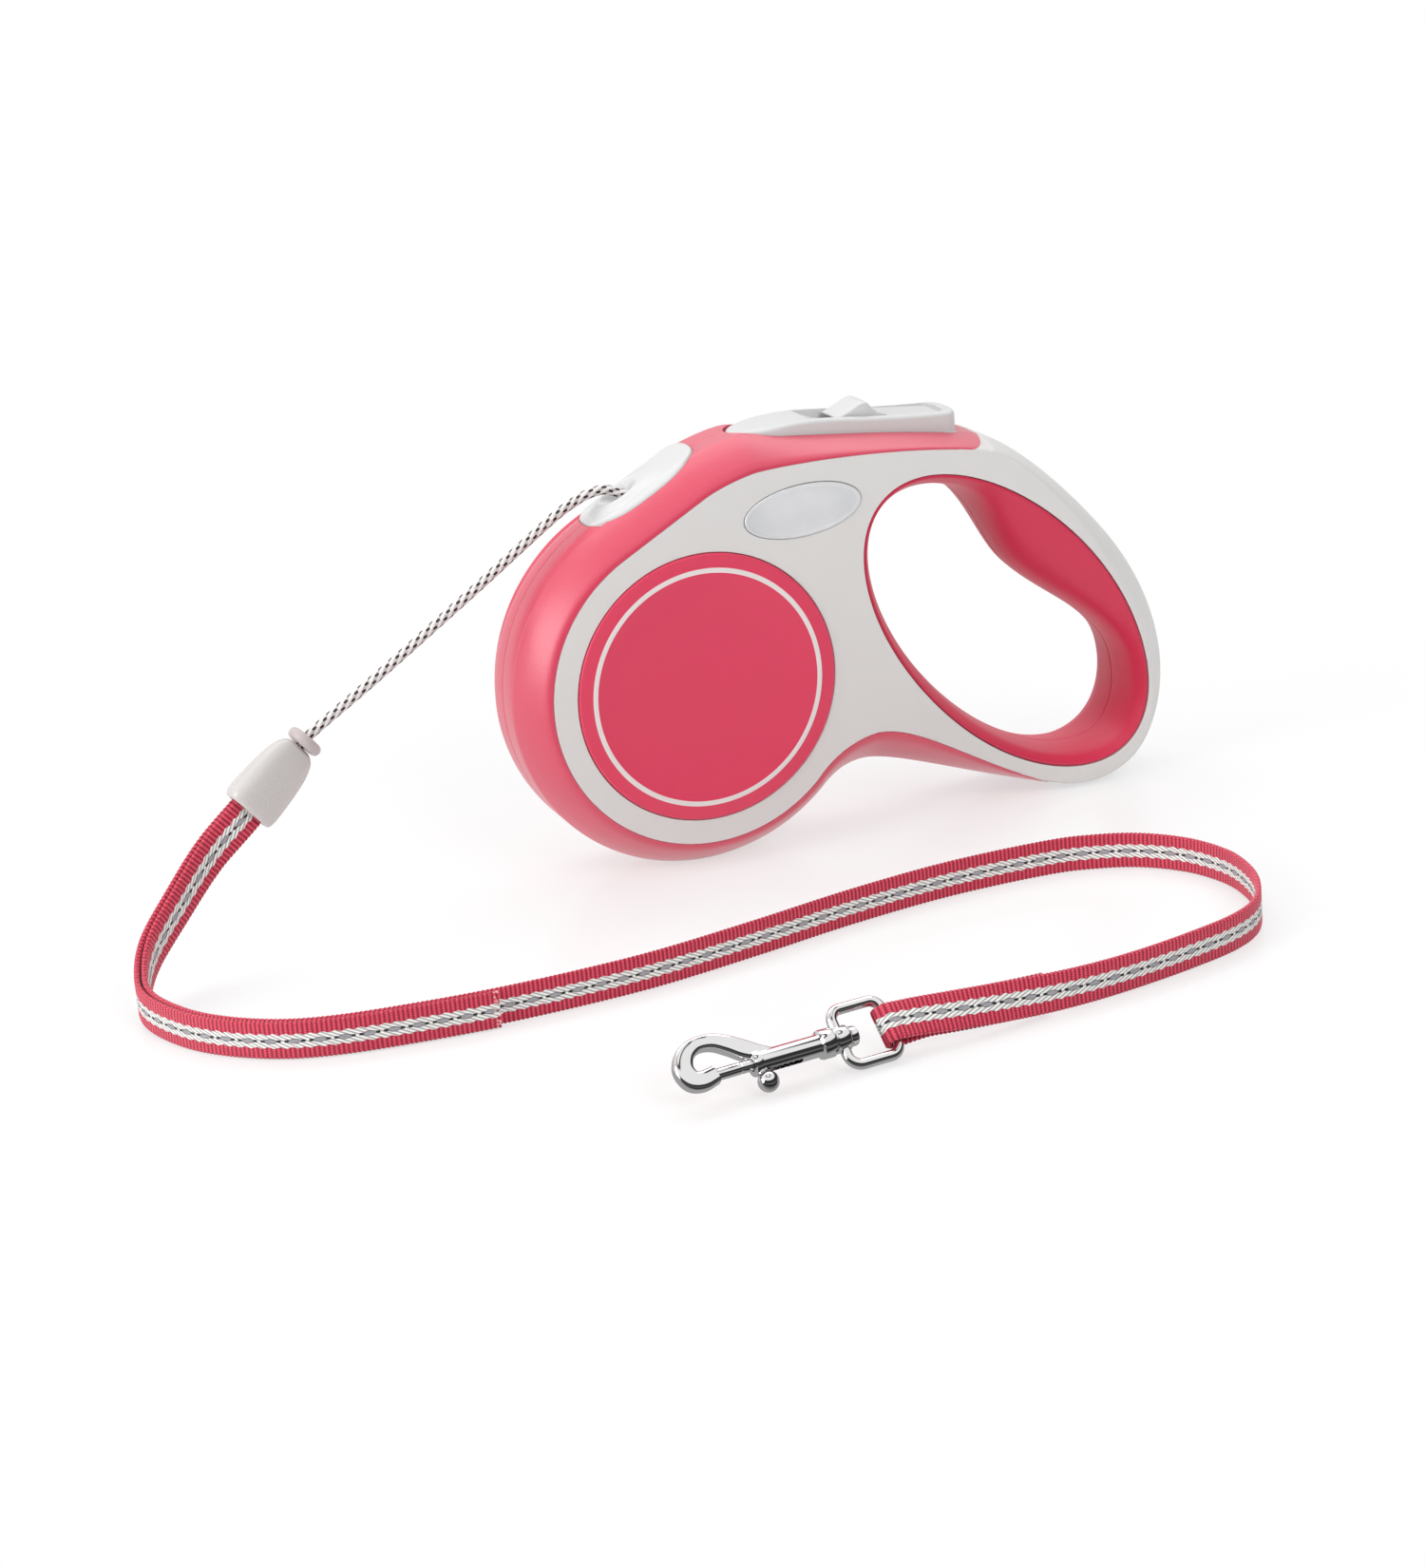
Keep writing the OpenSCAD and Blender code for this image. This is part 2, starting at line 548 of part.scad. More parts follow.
// the pawl hangs from the button with its tip over a gap between two teeth
pawl_tip = (tooth_r + 0.6) * [cos(pawl_at), sin(pawl_at)];
PAWL = concat([[pawl_tip[0] - 4.3, crest_z - 6.2], [pawl_tip[0] + 2.5, crest_z - 6.2]],
  [for (d = [[2.3, 6.9], [1.7, 2.1], [0, 0], [-1.7, 1.7], [-1.9, 6.9]]) pawl_tip + d]);
module brake_pawl() color(DARK) in_case() slab(-chamber_y - ratchet_t + 0.2, -chamber_y - 0.2) polygon(PAWL);
HUMP = [[-2.6, -0.6], [-0.6, 0.4], [2.4, 2.2], [3.6, 2.7], [4.6, 2.6], [5.8, 1.5], [7.2, 0.5], [9.2, 0.1]];
module lock_slider() color(LIGHT) in_case() in_slide() union() {
  translate([slider_x, -slider_w / 2, -2.2 + slider_gap]) cube([slider_l, slider_w, 1.5]);
  slab(-slider_w / 2 + 0.6, slider_w / 2 - 0.6) polygon(concat(HUMP, [[9.2, -1], [-2.6, -1]]));
}
module button_pin() color(STEEL) in_case() rod(pivot[0], pivot[1], pin_r, -10.5, 10.5);

// a coil spring along z, from z0 to z1
module coil(r, w, z0, z1, turns) loft([for (i = [0:10 * turns])
  let (a = 36 * i, z = mix(z0 + w, z1 - w, i / (10 * turns)))
  [for (k = [0:5]) [(r + w * cos(60 * k)) * cos(a), (r + w * cos(60 * k)) * sin(a), z + w * sin(60 * k)]]]);
module button_spring() color(STEEL) in_case() translate([spring_x, 0, 0])
  coil(coil_r, wire_r, spring_z0, spring_z1, 4);

// free cord, stop and clip
clip_at = [-127.7, -10, 44.9];
clip_dir = unit([-0.77, -0.10, -0.63]);
function upright(d) = unit([0, 0, 1] - d[2] * d);
function leaned(d, roll) = cos(roll) * upright(d) + sin(roll) * cross(d, upright(d));
module in_frame(o, u, v) let (n = cross(u, v))
  multmatrix([for (i = [0:2]) [u[i], v[i], n[i], o[i]]]) children();
clip_up = upright(clip_dir);

// a point of the cord from the nozzle's own frame
nozzle_p = nose_mid + eyelet_x * nose_dir;
function from_nozzle(a, b) =
  let (p = nozzle_p + a * nose_dir + b * nose_out) [drum_x + p[0], 0, body_r + p[1]];
lean = [-sin(eyelet_lean), cos(eyelet_lean)];
// the knot that the clip holds: distance from the clip's mouth and radius
KNOT = [[3.5, cord_r], [4.2, cord_r + 0.7], [5.6, cord_r + 1], [7, cord_r + 0.7], [7.8, cord_r - 0.3]];
CORD = concat([for (s = [-27, -8, 2]) from_nozzle(s * lean[0], s * lean[1])],
  [from_nozzle(-2.6, 3.2), from_nozzle(-4.7, 4.3), from_nozzle(-7.1, 5), from_nozzle(-9.8, 5.3)],
  [[-64.7, -1.2, 81.8], [-84, -3.8, 70.3], [-108, -7, 56.4]],
  [for (s = [-4, 0]) clip_at + s * clip_dir], [for (k = KNOT) clip_at + k[0] * clip_dir]);
function cord_dir(p, i) = unit(p[min(i + 1, len(p) - 1)] - p[max(i - 1, 0)]);
function ring8(p, d, r, n) = let (v = upright(d), s = cross(d, v))
  [for (k = [0:n - 1]) p + r * (cos(360 * k / n) * v - sin(360 * k / n) * s)];
function cord_thick(i) = let (k = i - len(CORD) + len(KNOT)) k < 0 ? cord_r : KNOT[k][1];
module free_cord() color(LIGHT)
  loft([for (i = [0:len(CORD) - 1]) ring8(CORD[i], cord_dir(CORD, i), cord_thick(i), 8)]);
STOP = [[0, 0], [stop_r - 0.8, 0], [stop_r, 0.7], [stop_r, 1.7], [stop_r - 0.8, 2.4], [0, 2.4]];
module cord_stop() color(LIGHT)
  in_frame(clip_at - 0.3 * clip_dir, clip_dir, clip_up) rotate([0, -90, 0]) difference() {
    rotate_extrude() polygon(STOP);
    translate([0, 0, -1]) cylinder(h = 5, r = cord_r + cord_gap);
  }
module clip_hull() hull() {
  for (s = [-1, 1]) {
    translate([1.6, s * 2.6, 0]) sphere(r = 1.6, $fn = 24);
    translate([5, s * (clip_b - 3.6), 0]) sphere(r = 3, $fn = 24);
    translate([clip_l - 2.4, s * (clip_b - 2.2), clip_t - 2.2]) sphere(r = 2.2, $fn = 24);
    translate([clip_l - 2.4, s * (clip_b - 2.2), 2.2 - clip_t]) sphere(r = 2.2, $fn = 24);
  }
}
fold_r = clip_pin_r + 0.25 + web_t / 2;
clip_pin_u = clip_l - 6.8;
module clip_half(side) in_frame(clip_at, clip_dir, clip_up) difference() {
  intersection() {
    clip_hull();
    translate([-5, -20, side > 0 ? 0.03 : -20]) cube([40, 40, 19.97]);
  }
  translate([3, -web_b / 2 - 0.3, -fold_r - web_t / 2 - 0.2])
    cube([40, web_b + 0.6, 2 * fold_r + web_t + 0.4]);
  translate([clip_pin_u, -5.2, 0]) rotate([-90, 0, 0]) cylinder(h = 10.4, r = clip_pin_r + run_gap);
  translate([-5, 0, 0]) rotate([0, 90, 0]) cylinder(h = 20, r = cord_r + cord_gap);
}
module clip_housing() color(PALE) clip_half(-1);
module clip_cover() color(PALE) clip_half(1);
module clip_pin() color(STEEL) in_frame(clip_at, clip_dir, clip_up)
  translate([clip_pin_u, -5.1, 0]) rotate([-90, 0, 0]) cylinder(h = 10.2, r = clip_pin_r);

// webbing: tail, fold in the clip, long run, fold on the ring, tail
clip_n = cross(clip_dir, clip_up);
mouth = clip_at + clip_l * clip_dir - layer / 2 * clip_n;
// [x, y, z, roll] of the long run after the clip's mouth
RUN = [[-149.8, -13, 26.4, 0], [-158.3, -16.5, 18.4, 0], [-166.3, -22, 11.2, 0],
  [-170.3, -29, 6.6, 0], [-171, -37, 4.6, 0], [-167, -49, 4.2, 0], [-160.6, -58.3, 4.2, 0],
  [-151.5, -65.7, 4.2, 0], [-141, -69.8, 4.2, 0], [-126, -72.3, 4.2, 0], [-109.3, -73.8, 4.2, 0],
  [-91.3, -73.8, 4.2, 0], [-73.3, -72.4, 4.2, 0], [-50.3, -67.9, 4.2, 0], [-26.3, -62.5, 4.2, 0],
  [-2.3, -59.1, 4.2, 0], [20.3, -59.2, 4.2, 0], [30.7, -61.5, 4.2, 0], [39.7, -66.3, 4.2, 0],
  [46.7, -74.7, 4.2, 0], [50, -85, 4.2, 0], [49.7, -94.5, 4.2, 0], [46.9, -104, 4.2, 0],
  [41, -113.5, 4.2, 0], [32.5, -119.3, 4.2, 0], [20, -123.2, 4.2, 0], [7.7, -125.9, 4.2, 0],
  [-3.5, -127.6, 4.3, 4], [-14.2, -128.7, 4.7, 12], [-24.5, -129.4, 5.4, 24],
  [-34.4, -129.9, 6.2, 34], [-42.5, -130.2, 6.9, 42], [-48.2, -130.6, 7.3, 46]];
run_p = [for (r = RUN) [r[0], r[1], r[2]]];
run_path = concat([mouth], run_p);
run_n = len(run_path);
end_dir = unit([-0.99, -0.11, 0]);
run_dir = concat([clip_dir], [for (i = [1:run_n - 2]) cord_dir(run_path, i)], [end_dir]);
run_up = [for (i = [0:run_n - 1]) leaned(run_dir[i], i == 0 ? 0 : RUN[i - 1][3])];
run_out = [for (i = [0:run_n - 1]) cross(run_dir[i], run_up[i])];
// four corners of the webbing at one place
function tape(p, w, n) = [p + web_b / 2 * w + web_t / 2 * n, p + web_b / 2 * w - web_t / 2 * n,
  p - web_b / 2 * w - web_t / 2 * n, p - web_b / 2 * w + web_t / 2 * n];
tail_a = 11;
tail_b = 4;
pin_p = clip_at + clip_pin_u * clip_dir;
end_i = run_n - 1;
bar_r = ring_wire + 0.25 + web_t / 2;
bar_p = run_path[end_i] + bar_r * run_out[end_i];
module webbing() color(RED) loft(concat(
  [for (i = [tail_a:-1:0]) tape(run_path[i] + layer * run_out[i], run_up[i], -run_out[i])],
  [for (k = [0:5]) let (a = 36 * k, d = -cos(a) * clip_n - sin(a) * clip_dir)
    tape(pin_p - fold_r * d, clip_up, d)],
  [for (i = [0:end_i]) tape(run_path[i], run_up[i], run_out[i])],
  [for (k = [1:5]) let (a = 36 * k, d = cos(a) * run_out[end_i] - sin(a) * run_dir[end_i])
    tape(bar_p - bar_r * d, run_up[end_i], d)],
  [for (i = [end_i - 1:-1:end_i - tail_b]) let (g = i == end_i - 1 ? mix(layer, 2 * bar_r, 0.35) : layer)
    tape(run_path[i] + g * run_out[i], run_up[i], -run_out[i])]));

// swivel ring and snap hook, along u from the ring's bar
module in_hook() in_frame(bar_p, run_dir[end_i], run_up[end_i]) children();
module along(u0, u1, r) translate([u0, 0, 0]) rotate([0, 90, 0]) cylinder(h = u1 - u0, r = r);
ring_corner = 2.4;
ring_pts = [for (q = [[1, 1, 0], [-1, 1, 90], [-1, -1, 180], [1, -1, 270]], k = [0:5])
  [ring_l / 2 + q[0] * (ring_l / 2 - ring_corner), q[1] * (ring_b - ring_corner)]
  + ring_corner * [cos(q[2] + 18 * k), sin(q[2] + 18 * k)]];
ring_n = len(ring_pts);
function ring_dir(i) = unit(ring_pts[(i + 1) % ring_n] - ring_pts[(i + ring_n - 1) % ring_n]);
// ten points round a wire at a place in the flat of the ring or the eye
function wire10(p, d, r) = [for (k = [0:9])
  [p[0] + r * cos(36 * k) * d[1], p[1] - r * cos(36 * k) * d[0], r * sin(36 * k)]];
module swivel_ring() color(STEEL) in_hook() difference() {
  union() {
    loft([for (i = [0:ring_n - 1]) wire10(ring_pts[i], ring_dir(i), ring_wire)], true);
    along(ring_l - 1.6, ring_l + 1.6, 2.6);
    translate([0, ring_corner - ring_b, 0]) rotate([-90, 0, 0])
      cylinder(h = 2 * (ring_b - ring_corner), r = ring_wire + 0.03);
  }
  along(2, ring_l + 10, rivet_r + run_gap);
}
collar_u = ring_l + 1.8;
barrel_u = collar_u + 2.5;
barrel_end = barrel_u + 15;
nose_u = barrel_end + 7.8;
// [u after the barrel's end, v, radius] along the hook's eye, from the barrel round to the nose
EYE = [[-3.6, 0.4, 1.6], [-1, 2.2, 1.5], [1.6, 4.8, 1.45], [4.2, 6.9, 1.45], [7.4, 7.9, 1.5],
  [10.6, 7.2, 1.6], [13, 5, 1.8], [13.8, 2.2, 2], [12.8, 0, 2.05], [10.6, -0.4, 1.95], [7.8, 0, 1.8]];
eye_n = len(EYE);
function eye_p(i) = [barrel_end + EYE[i][0], EYE[i][1]];
function eye_dir(i) = i == eye_n - 1 ? [-1, 0] : unit(eye_p(i + 1) - eye_p(max(i - 1, 0)));
stem_u = barrel_end - 1.8;
bolt_tail = barrel_end - 5;
spring_u = barrel_u + 1.2;
module hook_body() color(STEEL) in_hook() difference() {
  union() {
    along(ring_l - 3.7, ring_l - 1.9, 2);
    along(ring_l - 2.5, collar_u + 1, rivet_r);
    along(collar_u, barrel_u + 0.5, 2.9);
    along(barrel_u, barrel_end, barrel_r);
    loft([for (i = [0:eye_n - 1]) wire10(eye_p(i), eye_dir(i), EYE[i][2])]);
  }
  along(barrel_u + 1, barrel_end + 0.6, bolt_r + run_gap);
  translate([stem_u - bolt_travel - 1.2, -5, -1]) cube([bolt_travel + 2.4, 5, 2]);
}
module hook_bolt() color(STEEL) in_hook() union() {
  along(bolt_tail, nose_u - 0.2, bolt_r);
  translate([stem_u, -4, 0]) rotate([-90, 0, 0]) cylinder(h = 4, r = 0.8);
  translate([stem_u, -4.1, 0]) sphere(r = ball_r);
}
module bolt_spring() color(STEEL) in_hook() rotate([0, 90, 0]) coil(0.85, 0.2, spring_u, bolt_tail - 0.1, 7);

left_shell();
right_shell();
left_rim();
right_rim();
left_grip();
right_grip();
left_cover();
right_cover();
left_badge();
right_badge();
nozzle();
axle();
reel();
spring_cover();
power_spring();
wound_cord();
brake_button();
brake_pawl();
lock_slider();
button_pin();
button_spring();
case_screws();
free_cord();
cord_stop();
clip_housing();
clip_cover();
clip_pin();
webbing();
swivel_ring();
hook_body();
hook_bolt();
bolt_spring();
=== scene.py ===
# %% [markdown]
# # Retractable cord leash
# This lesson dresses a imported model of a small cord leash: a grey and red case with a hand loop, a braided
# cord that leaves through a nozzle, a clip, a flat webbing strap and a chromed snap hook.
#
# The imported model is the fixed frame. Every piece below is made in metres in that frame, and rides on one
# of its bodies, so the brake, the lock, the ring, the hook and its bolt still move.

# %% Load the frame
import math

import bpy
import numpy as np
from mathutils import Matrix, Vector


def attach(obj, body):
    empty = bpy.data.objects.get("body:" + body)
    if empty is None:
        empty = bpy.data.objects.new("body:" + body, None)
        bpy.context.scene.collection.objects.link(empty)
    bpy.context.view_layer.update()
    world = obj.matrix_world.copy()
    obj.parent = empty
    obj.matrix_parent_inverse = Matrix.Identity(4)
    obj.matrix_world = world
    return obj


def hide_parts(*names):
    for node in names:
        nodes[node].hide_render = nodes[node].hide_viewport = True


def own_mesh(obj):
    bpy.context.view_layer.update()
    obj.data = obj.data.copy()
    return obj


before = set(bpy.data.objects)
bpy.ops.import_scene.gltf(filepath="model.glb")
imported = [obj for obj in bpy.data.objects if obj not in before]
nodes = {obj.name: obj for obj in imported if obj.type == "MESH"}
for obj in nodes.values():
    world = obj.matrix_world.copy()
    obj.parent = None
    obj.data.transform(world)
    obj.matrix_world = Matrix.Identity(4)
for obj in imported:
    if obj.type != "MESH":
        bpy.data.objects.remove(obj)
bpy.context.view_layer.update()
MM = 0.001

# %% [markdown]
# ## The camera
# The case is seen a little from its cord side and from above, through a long lens. The camera's place was
# worked out from the round cover, which the picture shows as an ellipse, and from the two places where the
# case touches the floor.
#
# The camera comes first, because the cords are measured against what it sees.

# %% Camera
AZIMUTH, ELEVATION, ROLL = (math.radians(v) for v in (-20.365, 18.637, -4.769))
DISTANCE, LENS, SENSOR = 0.8, 81.82, 36
level = math.cos(ELEVATION)
back = Vector((math.sin(AZIMUTH) * level, -math.cos(AZIMUTH) * level, math.sin(ELEVATION)))
side = Vector((math.cos(AZIMUTH), math.sin(AZIMUTH), 0))
above = back.cross(side)
right = math.cos(ROLL) * side + math.sin(ROLL) * above
up = math.cos(ROLL) * above - math.sin(ROLL) * side
target = Vector((-32.36, 0, 14.75)) * MM
camera_data = bpy.data.cameras.new("studio_camera")
camera_data.lens, camera_data.sensor_width = LENS, SENSOR
camera = bpy.data.objects.new("studio_camera", camera_data)
turn = Matrix((right, up, back)).transposed().to_4x4()
camera.matrix_world = Matrix.Translation(target + DISTANCE * back) @ turn
bpy.context.scene.collection.objects.link(camera)
bpy.context.scene.camera = camera
print("camera at", [round(c, 3) for c in camera.matrix_world.translation])

# %% [markdown]
# ## Tools of the bench
# Most pieces are long shapes with a section that changes on the way: a rim, a lining, a strap, a wire. By
# hand one would add a grid and pull its rows of vertices onto the section, station by station, and that is
# what `laid` does with a table of points.
#
# `turned` draws a profile and spins it, for everything that a lathe would make. `prism` extrudes a flat outline, and
# `cut` takes one solid out of another. `dress` gives finished pieces their material and the body they ride on.

# %% Modelling helpers
WELD = 1e-6


def fresh(name):
    """The primitive that was just added gets its name, and sits at the origin."""
    piece = bpy.context.object
    piece.name = piece.data.name = name
    piece.matrix_world = Matrix.Identity(4)
    return piece


def deselect():
    if bpy.context.object and bpy.context.object.mode != "OBJECT":
        bpy.ops.object.mode_set(mode="OBJECT")
    bpy.ops.object.select_all(action="DESELECT")


def picked(piece):
    """Only this piece is selected and active."""
    deselect()
    bpy.context.view_layer.objects.active = piece
    piece.select_set(True)
    return piece


def on_whole_mesh(*steps):
    """Runs mesh operators in edit mode, with the whole mesh selected before each."""
    bpy.ops.object.mode_set(mode="EDIT")
    for step in steps:
        bpy.ops.mesh.select_all(action="SELECT")
        step()
    bpy.ops.object.mode_set(mode="OBJECT")


def shaded(piece, smooth=35):
    """Edges gentler than smooth degrees are shaded smooth."""
    picked(piece)
    bpy.ops.object.shade_smooth_by_angle(angle=math.radians(smooth))
    return piece


def closed_up(piece, fill=True, smooth=35):
    """Doubles are merged, holes are filled, and faces point outwards."""
    picked(piece)
    steps = [lambda: bpy.ops.mesh.remove_doubles(threshold=WELD),
             lambda: bpy.ops.mesh.dissolve_degenerate(threshold=WELD),
             lambda: bpy.ops.mesh.delete_loose()]
    if fill:
        steps.append(lambda: bpy.ops.mesh.fill_holes(sides=0))
    on_whole_mesh(*steps, lambda: bpy.ops.mesh.normals_make_consistent(inside=False))
    return shaded(piece, smooth)


def laid(name, rows, ring=False, smooth=35, chart=None):
    """A grid pulled onto rows of points in millimetres: rows run along the piece, and each row is one closed
    section. ring joins the last row to the first. chart gives the UV map in millimetres."""
    rows = np.asarray(rows, float)
    if ring:
        rows = np.concatenate([rows, rows[:1]])
    rows = np.concatenate([rows, rows[:, :1]], axis=1)
    n, m = rows.shape[:2]
    deselect()
    bpy.ops.mesh.primitive_grid_add(x_subdivisions=n - 1, y_subdivisions=m - 1, size=1)
    piece = fresh(name)
    flat = np.array([v.co for v in piece.data.vertices])
    i = np.rint((flat[:, 0] + 0.5) * (n - 1)).astype(int)
    j = np.rint((flat[:, 1] + 0.5) * (m - 1)).astype(int)
    piece.data.vertices.foreach_set("co", (rows[i, j] * MM).ravel())
    if chart is not None:
        chart = np.concatenate([chart, chart[:, :1]], axis=1)
        corner = np.zeros(len(piece.data.loops), int)
        piece.data.loops.foreach_get("vertex_index", corner)
        piece.data.uv_layers[0].data.foreach_set("uv", chart[i[corner], j[corner]].ravel())
    return closed_up(piece, smooth=smooth)


def turned(name, profile, place, steps):
    """A closed profile of (along, radius) points in millimetres, spun round the X axis of a place."""
    deselect()
    bpy.ops.mesh.primitive_circle_add(vertices=len(profile), fill_type="NOTHING")
    piece = fresh(name)
    piece.data.vertices.foreach_set("co", np.array([(a * MM, r * MM, 0) for a, r in profile]).ravel())
    on_whole_mesh(lambda: bpy.ops.mesh.spin(steps=steps, angle=2 * math.pi, center=(0, 0, 0), axis=(1, 0, 0)))
    piece.data.transform(place)
    return closed_up(piece)


def prism(name, outline, sweep):
    """A flat outline of points in millimetres, extruded along sweep."""
    deselect()
    bpy.ops.mesh.primitive_circle_add(vertices=len(outline), fill_type="NGON")
    piece = fresh(name)
    piece.data.vertices.foreach_set("co", (np.asarray(outline, float) * MM).ravel())
    way = {"value": Vector(sweep) * MM}
    on_whole_mesh(lambda: bpy.ops.mesh.extrude_region_move(TRANSFORM_OT_translate=way))
    return closed_up(piece, fill=False)


def apply_all(piece):
    picked(piece)
    for modifier in list(piece.modifiers):
        bpy.ops.object.modifier_apply(modifier=modifier.name)
    return piece


def cut(piece, *cutters, smooth=35):
    for cutter in cutters:
        modifier = piece.modifiers.new("cut", "BOOLEAN")
        modifier.operation, modifier.solver, modifier.object = "DIFFERENCE", "EXACT", cutter
        apply_all(piece)
        bpy.data.objects.remove(cutter)
    return shaded(piece, smooth)


def rounded(piece, width):
    """A bevel on the sharp edges, so that they catch the light."""
    modifier = piece.modifiers.new("round", "BEVEL")
    modifier.width, modifier.segments = width * MM, 3
    modifier.limit_method, modifier.angle_limit = "ANGLE", math.radians(40)
    return shaded(apply_all(piece))


def mirrored(piece, name):
    """The same piece on the other side of the middle plane, with a mesh of its own."""
    other = piece.copy()
    other.data = piece.data.copy()
    other.name = other.data.name = name
    bpy.context.scene.collection.objects.link(other)
    other.data.transform(Matrix.Scale(-1, 4, (0, 1, 0)))
    return closed_up(other, fill=False)


def dress(finish, body, slot, *pieces):
    """Pieces that share a finish and a body. The slot is not used."""
    for piece in pieces:
        piece.data.materials.append(finish)
        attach(piece, body)


print("bench ready")

# %% [markdown]
# ## Lines and directions
# A few small functions draw lines through points and read their directions. Points are in millimetres, and
# the side view of the case is drawn flat, as pairs of numbers.

# %% Geometry helpers
def curve_through(points, per):
    """A smooth line through points, per steps from each to the next."""
    p = np.asarray(points, float)
    p = np.concatenate([2 * p[:1] - p[1:2], p, 2 * p[-1:] - p[-2:-1]])
    out = []
    for k in range(1, len(p) - 2):
        a, b, c, d = p[k - 1:k + 3]
        for t in np.arange(per) / per:
            out.append(0.5 * (2 * b + (c - a) * t + (2 * a - 5 * b + 4 * c - d) * t ** 2
                              + (3 * b - a - 3 * c + d) * t ** 3))
    return np.array(out + [p[-2]])


def hermite(p, m, q, n, t):
    """A line that leaves p along m and reaches q along n."""
    p, m, q, n = (np.asarray(x, float) for x in (p, m, q, n))
    return (p * (2 * t ** 3 - 3 * t ** 2 + 1) + m * (t ** 3 - 2 * t ** 2 + t)
            + q * (3 * t ** 2 - 2 * t ** 3) + n * (t ** 3 - t ** 2))


def unit(v):
    v = np.asarray(v, float)
    return v / np.linalg.norm(v, axis=-1, keepdims=True)


def headings(p):
    return unit(np.gradient(np.asarray(p, float), axis=0))


def travelled(line):
    """Distance along a line, at each of its points."""
    return np.concatenate([[0], np.cumsum(np.linalg.norm(np.diff(line, axis=0), axis=1))])


def inward(line):
    way = headings(line)
    return np.stack([way[:, 1], -way[:, 0]], axis=1)


def ease(t):
    return t * t * (3 - 2 * t)


def mix(a, b, t):
    return a + (b - a) * t


def full(v, power=0.72):
    """A sine or cosine with its ends filled out, which turns an oval into a pill."""
    return math.copysign(abs(v) ** power, v)


def around(n):
    """n angles, once round."""
    return np.linspace(0, 2 * math.pi, n, endpoint=False)


def shares(n):
    return np.arange(n) / n


def polar(r, degrees):
    return r * np.array((math.cos(math.radians(degrees)), math.sin(math.radians(degrees))))


print("a circle of 4:", np.round([polar(1, d) for d in range(0, 360, 90)], 3).tolist())

# %% [markdown]
# ## The line of the case
# Seen from the side the case is a round body that runs into a straight nose, a long top line, an egg-shaped
# hand loop, and a web that comes back to the body. The same values as in the solid model draw it here, only
# with more points, so that the light runs smoothly over the rim.
#
# Each station of the line knows its inward direction, and how wide the rounded shoulder is there.

# %% Outline
BODY_R, HALF_T, SEAM = 42.2, 15.0, 0.15
TILT = math.radians(48.5)
LONG = np.array((math.cos(TILT), -math.sin(TILT)))
WIDE = np.array((math.sin(TILT), math.cos(TILT)))
LOOP_A, LOOP_B, HOLE_A, HOLE_B = 48.0, 30.6, 45.1, 24.9
LOOP_X = 77.0
loop_h = math.hypot(LOOP_A * math.sin(TILT), LOOP_B * math.cos(TILT))
loop_l = math.hypot(LOOP_A * math.cos(TILT), LOOP_B * math.sin(TILT))
LOOP_C = np.array((LOOP_X, loop_h - BODY_R))
HOLE_C = LOOP_C + (-3.4, 2.1) + 0.6 * LONG
DRUM_X = -(LOOP_X + loop_l - BODY_R) / 2


def oval(c, a, b, t):
    t = math.radians(t)
    return c + a * math.cos(t) * LONG + b * math.sin(t) * WIDE


def oval_way(a, b, t):
    t = math.radians(t)
    return unit(a * math.sin(t) * LONG - b * math.cos(t) * WIDE)


HOLE_TIP = oval(HOLE_C, HOLE_A, HOLE_B, 180)
CREST = np.array((17.0, HOLE_TIP[1] + 17.7))
NOSE_WAY, NOSE_OUT = polar(1, 28), polar(1, 118)
nose_0 = BODY_R * NOSE_OUT
nose_1 = nose_0 + 22.4 * NOSE_WAY
NOSE_MID = nose_0 + 14 * NOSE_WAY
crest_way = unit((1, -0.15))
knee, knee_way = CREST + (55.4, -8.8), unit((1, -0.36))
TOP_T, HEEL_T, JOIN_T = 80, -40, -47
top_end, top_way = oval(LOOP_C, LOOP_A, LOOP_B, TOP_T), oval_way(LOOP_A, LOOP_B, TOP_T)
heel, heel_way = oval(LOOP_C, LOOP_A, LOOP_B, HEEL_T), oval_way(LOOP_A, LOOP_B, HEEL_T)
apex = np.array((39.5, 15.8 - BODY_R))
join = polar(BODY_R, JOIN_T)
join_way = np.array((math.sin(math.radians(JOIN_T)), -math.cos(math.radians(JOIN_T))))
print("drum axis at x =", round(DRUM_X, 2))

# %% [markdown]
# The rim runs from the heel of the loop, over the web, round the drum and along the nose, to the knee
# behind the button. The back of the loop closes the way from the knee to the heel.

# %% Rim and loop stations
WEB_N, JOIN_N, DRUM_N, NOSE_N, FRONT_N, TOP_N = 44, 20, 130, 24, 22, 62
KNEE_N, BACK_N = 56, 120
RIM_W, WEB_W, TONGUE_W, HEEL_W = 6.4, 8.2, 2.4, 1.4
rim_line = np.array([hermite(heel, 45 * heel_way, apex, (-25, 0), t) for t in shares(WEB_N)]
                    + [hermite(apex, (-12, 0), join, 12 * join_way, t) for t in shares(JOIN_N)]
                    + [polar(BODY_R, JOIN_T - 195 * t) for t in shares(DRUM_N)]
                    + [mix(nose_0, nose_1, t) for t in shares(NOSE_N)]
                    + [hermite(nose_1, 14 * NOSE_WAY, CREST, 10 * crest_way, t) for t in shares(FRONT_N)]
                    + [hermite(CREST, 36 * crest_way, knee, 30 * knee_way, t) for t in shares(TOP_N)] + [knee])
